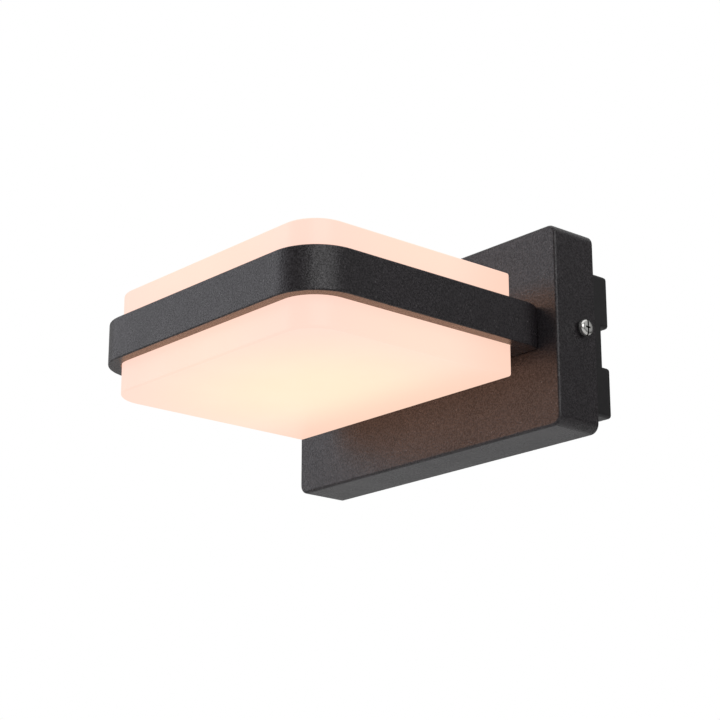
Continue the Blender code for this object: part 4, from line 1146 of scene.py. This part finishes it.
@dataclass(frozen=True)
class LightHead:
    """The band with a board, a seal and an opal cover above and below its web."""

    middle: float = -17.3 * MM
    cavity: Cavity = Cavity()
    radii: Pair = mm(23.9, 15)
    rear_centre: float = -45.8 * MM
    edge: float = 0.8 * MM
    web: float = 1.5 * MM
    bay_margin: float = 5 * MM
    window: Pair = mm(8, -61.9)
    tab_level: float = 6 * MM
    tab_rows: Pair = mm(-149, -89)
    tab_columns: Pair = mm(-38, 38)
    tab_inset: float = 1.2 * MM
    tab_hole: Place = mm(7.3, 1.5, 1.9)
    tab: Place = mm(7, 1.2, 1.3)
    screws: tuple[float, ...] = mm(-66, -24, 24, 66)
    screw_seat: float = -33.7 * MM
    board_centre: float = -111.95 * MM
    board_half: Pair = mm(64, 46)
    board_rows: Pair = mm(1.8, 3.4)
    board_corner: float = 2.5 * MM
    board_screws: tuple[tuple[str, int, float], ...] = (("upper", 1, 58 * MM), ("lower", -1, 49 * MM))
    screw_reach: float = 40 * MM
    pitch: float = 20 * MM
    emitter_half: Pair = mm(1.4, 1.75)
    seal_insets: Pair = mm(0.3, 3.5)
    cover: Pair = mm(4.5, 25.7)
    cover_gap: float = 0.4 * MM
    cover_wall: float = 2.5 * MM
    cover_rim: float = 1.2 * MM

    def build(self) -> None:
        """Model the band, its fixings, and what fills it above and below."""
        self.band()
        self.fixings()
        for name, side, across in self.board_screws:
            self.board(name, side, across)
            self.seal(name, side)
            self.opal(name, side)

    def tab_blocks(self, side: int, length: float, tall: float, reach: float) -> list[Piece]:
        """Blocks at the six snap places on one side of the web.

        Args:
            side: 1 above the web and -1 below.
            length: half length of each block along the wall.
            tall: half height of each block.
            reach: how far each block goes into the band.

        Returns:
            The blocks.
        """
        level = self.middle + side * self.tab_level
        below, above = level - tall, level + tall
        front = self.cavity.front
        made = []
        for flank in SIDES:
            inner = flank * (self.cavity.half_width - self.tab_inset)
            outer = flank * (self.cavity.half_width + reach)
            for row in self.tab_rows:
                made.append(block("tab", (inner, row - length, below), (outer, row + length, above)))
        for column in self.tab_columns:
            made.append(block("tab", (column - length, front - reach, below),
                              (column + length, front + self.tab_inset, above)))
        return made

    def band(self) -> None:
        """Bend the band round its corners, cut it square at the canopy and open both sides."""
        low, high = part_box("head_frame")
        front, rear = self.radii
        made = rounded_block("head_band", low, (high.x, self.rear_centre + rear, high.z), front, rear, 16)
        with editing(made):
            bpy.ops.mesh.select_all(action="SELECT")
            bpy.ops.mesh.bisect(plane_co=(0, high.y, 0), plane_no=(0, 1, 0), use_fill=True, clear_outer=True)
        rims = ((high.z, Axis.UP), (-low.z, Axis.DOWN))
        for level, way in rims:
            round_edges(made, rim_at(way, level), self.edge)
        carve(made, self.cavity.fill("upper_bay", self.middle + self.web, high.z + self.bay_margin),
              self.cavity.fill("lower_bay", low.z - self.bay_margin, self.middle - self.web))
        for level, way in rims:
            round_edges(made, rim_at(way, level), 0.3 * MM, 2)
        half, start = self.window
        carve(made, block("window", (-half, start, low.z), (half, self.cavity.rear + 0.1 * MM, high.z)))
        for side in SIDES:
            carve(made, *self.tab_blocks(side, *self.tab_hole))
        carve(made, *self.band_drills(low, high))
        finished(made, POWDER_COAT, "head_frame", angle=30)

    def band_drills(self, low: Vector, high: Vector) -> list[Piece]:
        """The drills for the leads, the head's seal, its threads and the board screws."""
        drills = [rod("tunnel", 4.5 * MM, (0, -55 * MM, self.middle), Axis.WALL, 30 * MM, 32),
                  rod("seal_seat", 10.5 * MM, (0, high.y - 1.9 * MM, self.middle), Axis.WALL, 5 * MM, 48)]
        for across in self.screws:
            start = (across, high.y - 10.5 * MM, self.middle)
            drills.append(rod("thread", 2.3 * MM, start, Axis.WALL, 12 * MM, 28))
        for _, _, across in self.board_screws:
            for place in self.screw_places(across):
                drills.append(rod("web_hole", 1.8 * MM, (*place, low.z), Axis.UP, 25 * MM, 24))
        return drills

    def screw_places(self, across: float) -> list[Pair]:
        """The four places of a board's screws."""
        return [(flank * across, self.board_centre + row * self.screw_reach)
                for flank, row in product(SIDES, SIDES)]

    def fixings(self) -> None:
        """The four screws that hold the band to the canopy, and the seal round the leads."""
        screw = PanScrew(*mm(2, 3.9, 2.6, 11.5), ZINC)
        screw.fit_row("head_screw", len(self.screws), "zinc", (self.screw_seat, self.middle), Axis.WALL)
        low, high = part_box("head_seal")
        start = (0, low.y, self.middle)
        made = ring("head_seal_rubber", *mm(10.2, 5.6), start, Axis.WALL, high.y - low.y, 0.4 * MM)
        finished(made, RUBBER, "head_seal")

    def board(self, name: str, side: int, across: float) -> None:
        """One emitter board with its four screws.

        Args:
            name: upper or lower.
            side: 1 above the web and -1 below.
            across: distance of its screws from the middle.
        """
        half_x, half_y = self.board_half
        below, above = self.board_rows
        centre = Vector((0, self.board_centre, 0))
        made = block(f"led_board_{name}_mask", centre + Vector((-half_x, -half_y, below)),
                     centre + Vector((half_x, half_y, above)))
        round_edges(made, along(Axis.UP), self.board_corner)
        places = self.screw_places(across)
        carve(made, *(rod("hole", 1.7 * MM, (*place, 0), Axis.UP, 8 * MM, 24) for place in places))
        paint(smooth(made), WHITE_MASK.material())
        gather(made, *self.emitters(above))
        self.mirror_to(made, side)
        hand_over(made, "white_board", f"led_board_{name}")
        screw = PanScrew(*mm(1.5, 2.8, 1.8, 4), ZINC, Drive.SLOT, 0.5 * MM, 32)
        for index in range(1, len(places) + 1):
            node = f"board_screw_{name}_{index}"
            fixed = screw.build(f"{node}_zinc", (*centre_of(node).xy, above + GAP), Axis.UP)
            self.mirror_to(fixed, side)
            hand_over(fixed, "zinc_steel", node)

    def mirror_to(self, piece: Piece, side: int) -> None:
        """Lift a piece from height 0 to the web, upside down for the lower side."""
        if side < 0:
            piece.data.transform(Matrix.Diagonal((1, 1, -1, 1)))
            piece.data.flip_normals()
        piece.data.transform(Matrix.Translation((0, 0, self.middle)))

    def emitters(self, level: float) -> list[Piece]:
        """The emitters of one board, six along and four across."""
        half_x, half_y = self.emitter_half
        base = block("emitter", (-half_x, -half_y, level - 0.05 * MM), (half_x, half_y, level + 0.7 * MM))
        round_edges(base, lambda a, b, angle: angle > 45 and min(a.z, b.z) > level, 0.15 * MM, 2)
        well = rod("well", 1.15 * MM, (0, 0, level + 0.5 * MM), Axis.UP, MM, 24)
        paint(smooth(carve(base, well)), EMITTER_BODY.material())
        lens = rod("lens", 1.12 * MM, (0, 0, level + 0.3 * MM), Axis.UP, 0.45 * MM, 24)
        round_edges(lens, rim_at(Axis.UP, level + 0.75 * MM), 0.2 * MM, 3)
        gather(base, paint(smooth(lens), PHOSPHOR.material()))
        made = []
        for column, row in product(range(6), range(4)):
            place = ((column - 2.5) * self.pitch, self.board_centre + (row - 1.5) * self.pitch, 0)
            made.append(copy_of(base, "emitter_copy", Matrix.Translation(place)))
        bpy.data.objects.remove(base, do_unlink=True)
        return made

    def seal(self, name: str, side: int) -> None:
        """The silicone frame that a cover presses on, notched for the leads on the lower side."""
        low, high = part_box(f"diffuser_seal_{name}")
        outer, inner = self.seal_insets
        made = self.cavity.fill(f"diffuser_seal_{name}_silicone", low.z, high.z, outer)
        carve(made, self.cavity.fill("core", low.z - THROUGH, high.z + THROUGH, inner))
        if side < 0:
            carve(made, block("notch", (-4.5 * MM, -54.1 * MM, low.z + 0.12 * MM),
                              (4.5 * MM, -49 * MM, high.z + THROUGH)))
        lip = rim_at(Axis.UP, high.z) if side > 0 else rim_at(Axis.DOWN, -low.z)
        finished(round_edges(made, lip, 0.5 * MM, 3), SILICONE, f"diffuser_seal_{name}")

    def opal(self, name: str, side: int) -> None:
        """One lit cover: a deep tray with snap tabs round its open end.

        Args:
            name: upper or lower.
            side: 1 above the web and -1 below.
        """
        near, far = self.cover
        made = self.cavity.fill(f"diffuser_{name}_opal", near, far, self.cover_gap)
        round_edges(made, rim_at(Axis.UP, far), self.cover_rim, 5)
        inset = self.cover_gap + self.cover_wall
        carve(made, self.cavity.fill("hollow", near - THROUGH, far - self.cover_wall, inset))
        for tab in self.tab_blocks(1, *self.tab):
            tab.data.transform(Matrix.Translation((0, 0, -self.middle)))
            weld_on(made, round_edges(tab, lambda a, b, angle: angle > 45, 0.35 * MM, 2))
        self.mirror_to(made, side)
        look = LitOpal(f"opal_diffuser_{name}", (0.12, 0.1, 0.09), (0.11, 0.09, 0.08), 0.42,
                       grain_scale=600.0, grain_depth=0.01 * MM, specular=0.3,
                       centre=(0.0, -108 * MM, self.middle + side * far), reach=mm(100, 80, 45))
        hand_over(paint(smooth(made, 30), look.material()), "opal_diffuser", f"diffuser_{name}")


# ---- leads ---------------------------------------------------------------------------------
@dataclass(frozen=True)
class Lead:
    """An insulated lead through its route in millimetres, rounded between the points."""

    node: str
    look: Finish
    route: Route
    radius: float = 1.1 * MM
    steps: int = 6

    def build(self) -> None:
        """Sweep the lead along its route and hand it over."""
        line = bpy.data.curves.new(f"{self.node}_sleeve", "CURVE")
        line.dimensions = "3D"
        line.bevel_depth = self.radius
        line.bevel_resolution = 5
        line.use_fill_caps = True
        points = self.smooth_points()
        run = line.splines.new("POLY")
        run.points.add(len(points) - 1)
        for target, place in zip(run.points, points):
            target.co = (*(place * MM), 1.0)
        made = bpy.data.objects.new(line.name, line)
        bpy.context.scene.collection.objects.link(made)
        activate(made)
        bpy.ops.object.convert(target="MESH")
        made = bpy.context.object
        hand_over(paint(smooth(made, 50, False), self.look.material()), self.look.name, self.node)

    def smooth_points(self) -> list[Vector]:
        """Points on a smooth line through the whole route."""
        route = [Vector(place) for place in self.route]
        padded = [2 * route[0] - route[1], *route, 2 * route[-1] - route[-2]]
        made = []
        for before, start, end, after in zip(padded, padded[1:], padded[2:], padded[3:]):
            for step in range(self.steps):
                t = step / self.steps
                bend = 2 * start + (end - before) * t
                bend += (2 * before - 5 * start + 4 * end - after) * t ** 2
                bend += (3 * start - before - 3 * end + after) * t ** 3
                made.append(bend / 2)
        return made + [route[-1]]


def from_terminal(pole: float) -> Route:
    """The start of a lead: out of its clamp and straight up."""
    return ((pole, -19.7, -48.3), (pole, -19.7, -40.8), (pole, -19.7, -36.8))


def to_boards(side: int, start: float, low: float) -> Route:
    """A lead from the driver, through the canopy's front and down to the lower board."""
    across = 1.5 * side
    return (
        (start, -27.2, -4.6), (start - 0.5, -27.2, -9.6), (start - 6, -27.7, -12.8 - low),
        (8, -28.7, -15.1 - low), (across + 2, -31.5, -17.3 + 1.6 * side), (across, -35, -17.3),
        (across, -43.3, -17.3), (across, -48.9, -17.3), (across, -53.9, -19.46),
        (across, -57.9, -22.1), (across, -68.95, -22.1),
    )


def between_boards(side: int) -> Route:
    """A lead from the upper board round through the web's window to the lower one."""
    bends = ((11.2, -68.95, 4.8), (9.6, -63.95, 4.8), (6.4, -59.95, 2.88), (5.76, -58.95, 0.0),
             (6.4, -59.95, -2.88), (9.6, -63.95, -4.8), (11.2, -68.95, -4.8))
    return tuple((side * across, back, -17.3 + height) for across, back, height in bends)


RED_LEAD = sleeve("red_lead", (0.5, 0.03, 0.025))
BLACK_LEAD = sleeve("black_lead", (0.02, 0.02, 0.02))
LEADS = (
    Lead("supply_lead_live", sleeve("brown_lead", (0.16, 0.06, 0.025)), (
        *from_terminal(-10), (-14, -20.7, -31.8), (-25, -23.7, -19.6),
        (-31, -27.2, -10.6), (-32, -27.2, -4.6))),
    Lead("supply_lead_neutral", sleeve("blue_lead", (0.03, 0.11, 0.42)), (
        *from_terminal(0), (-3, -20.7, -28.8), (-13, -23.7, -16.6),
        (-24, -27.2, -10.6), (-25, -27.2, -4.6))),
    Lead("earth_lead", StripedSleeve("green_yellow_lead", (0.05, 0.3, 0.07), (0.04, 0.25, 0.06), 0.4), (
        *from_terminal(10), (16, -19.7, -33.8), (24, -18.7, -39.8),
        (31, -17.3, -46.3), (34.4, -16.3, -48.3))),
    Lead("driver_lead_positive", RED_LEAD, to_boards(1, 20, 0)),
    Lead("driver_lead_negative", BLACK_LEAD, to_boards(-1, 27, 4)),
    Lead("link_lead_positive", RED_LEAD, between_boards(1)),
    Lead("link_lead_negative", BLACK_LEAD, between_boards(-1)),
)


# ---- studio --------------------------------------------------------------------------------
def aimed(data: bpy.types.ID, target: Place, azimuth: float, height: float, distance: float) -> Piece:
    """Put a light or a camera on the stage and aim it at the target.

    Args:
        data: the light or the camera.
        target: the point that it is aimed at.
        azimuth: degrees from the front towards +X.
        height: degrees above the target.
        distance: distance from the target.

    Returns:
        The object on the stage.
    """
    turn, rise = math.radians(azimuth), math.radians(height)
    away = Vector((math.sin(turn) * math.cos(rise), -math.cos(turn) * math.cos(rise), math.sin(rise)))
    holder = bpy.data.objects.new(data.name, data)
    bpy.context.scene.collection.objects.link(holder)
    holder.location = Vector(target) + away * distance
    holder.rotation_euler = (-away).to_track_quat("-Z", "Y").to_euler()
    return holder


@dataclass(frozen=True)
class Softbox:
    """A soft rectangular light aimed at the lantern."""

    name: str
    azimuth: float
    height: float
    width: float
    tall: float
    radiance: float
    colour: Colour = (1.0, 1.0, 1.0)
    distance: float = 1.6

    def place(self, target: Place) -> None:
        """Hang the light at its angle and turn it to the target."""
        lamp = bpy.data.lights.new(self.name, "AREA")
        lamp.shape = "RECTANGLE"
        lamp.size, lamp.size_y = self.width, self.tall
        lamp.color = self.colour
        lamp.energy = self.radiance * math.pi * self.width * self.tall
        holder = aimed(lamp, target, self.azimuth, self.height, self.distance)
        holder.visible_camera = False


@dataclass(frozen=True)
class Studio:
    """The floor, the soft lights, the white surround and the camera."""

    target: Place = (-0.0261, -0.0548, -0.0116)
    azimuth: float = 49.03
    elevation: float = -17.19
    distance: float = 0.99939
    lens: float = 97.57
    floor_level: float = -0.5
    boxes: tuple[Softbox, ...] = (
        Softbox("front_box", -49, 17, 1.2, 1.2, 1.1, (0.98, 0.98, 1.05)),
        Softbox("corner_strip", 63, 20, 1.4, 0.8, 2.1),
        Softbox("side_box", 131, 26, 0.8, 0.8, 0.32),
    )

    def build(self) -> None:
        """Set up the stage."""
        for box in self.boxes:
            box.place(self.target)
        self.floor()
        self.surround()
        self.camera()
        bpy.context.scene.view_settings.view_transform = "Standard"
        LOG.info("studio: %d softboxes", len(self.boxes))

    def floor(self) -> None:
        """A plain pale floor, well below the lantern."""
        deselect()
        bpy.ops.mesh.primitive_plane_add(size=8, location=(0, 0, self.floor_level))
        floor = bpy.context.object
        floor.name = "floor"
        pale = Finish("pale_floor", (0.66, 0.66, 0.66), (0.64, 0.64, 0.64), 0.8, grain_scale=60.0)
        paint(floor, pale.material())

    def surround(self) -> None:
        """White where the camera looks past the lantern, and a soft slope of light elsewhere."""
        world = bpy.data.worlds.new("surround")
        bpy.context.scene.world = world
        world.use_nodes = True
        recipe = Recipe(world.node_tree)
        way = recipe.node("SeparateXYZ", {0: recipe.node("TexCoord").outputs["Generated"]})
        left = recipe.math("MAXIMUM", recipe.math("MULTIPLY", way.outputs["X"], -1.0), 0.0)
        overhead = recipe.scaled(recipe.fade(way.outputs["Z"], 0.5, 0.9), 0.85, 0.1)
        soft = recipe.math("ADD", overhead, recipe.math("MULTIPLY", left, 0.25))
        seen = recipe.node("LightPath").outputs["Is Camera Ray"]
        plain = recipe.node("Background", {"Color": rgba((1.0, 1.0, 1.0)), "Strength": 1.0})
        glow = recipe.node("Background", {"Color": rgba((1.0, 1.0, 1.0)), "Strength": soft})
        mixed = recipe.node("MixShader", {0: seen, 1: glow.outputs[0], 2: plain.outputs[0]})
        recipe.node("OutputWorld", {"Surface": mixed.outputs[0]})

    def camera(self) -> None:
        """Point the camera up at the lantern's right-hand corner."""
        data = bpy.data.cameras.new("camera")
        data.lens = self.lens
        data.sensor_width = 36
        data.clip_start = 0.05
        camera = aimed(data, self.target, self.azimuth, self.elevation, self.distance)
        bpy.context.scene.camera = camera


def write_sizes() -> None:
    """Bring the view layer up to date."""
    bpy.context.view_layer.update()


def main() -> None:
    """Build the lantern from the wall outwards, then its leads and the studio."""
    logging.basicConfig(level=logging.INFO, format="%(name)s: %(message)s")
    for part in (WallBracket(), Terminals(), Canopy(), LightHead(), *LEADS, Studio()):
        part.build()
    write_sizes()


if __name__ == "__main__":
    main()
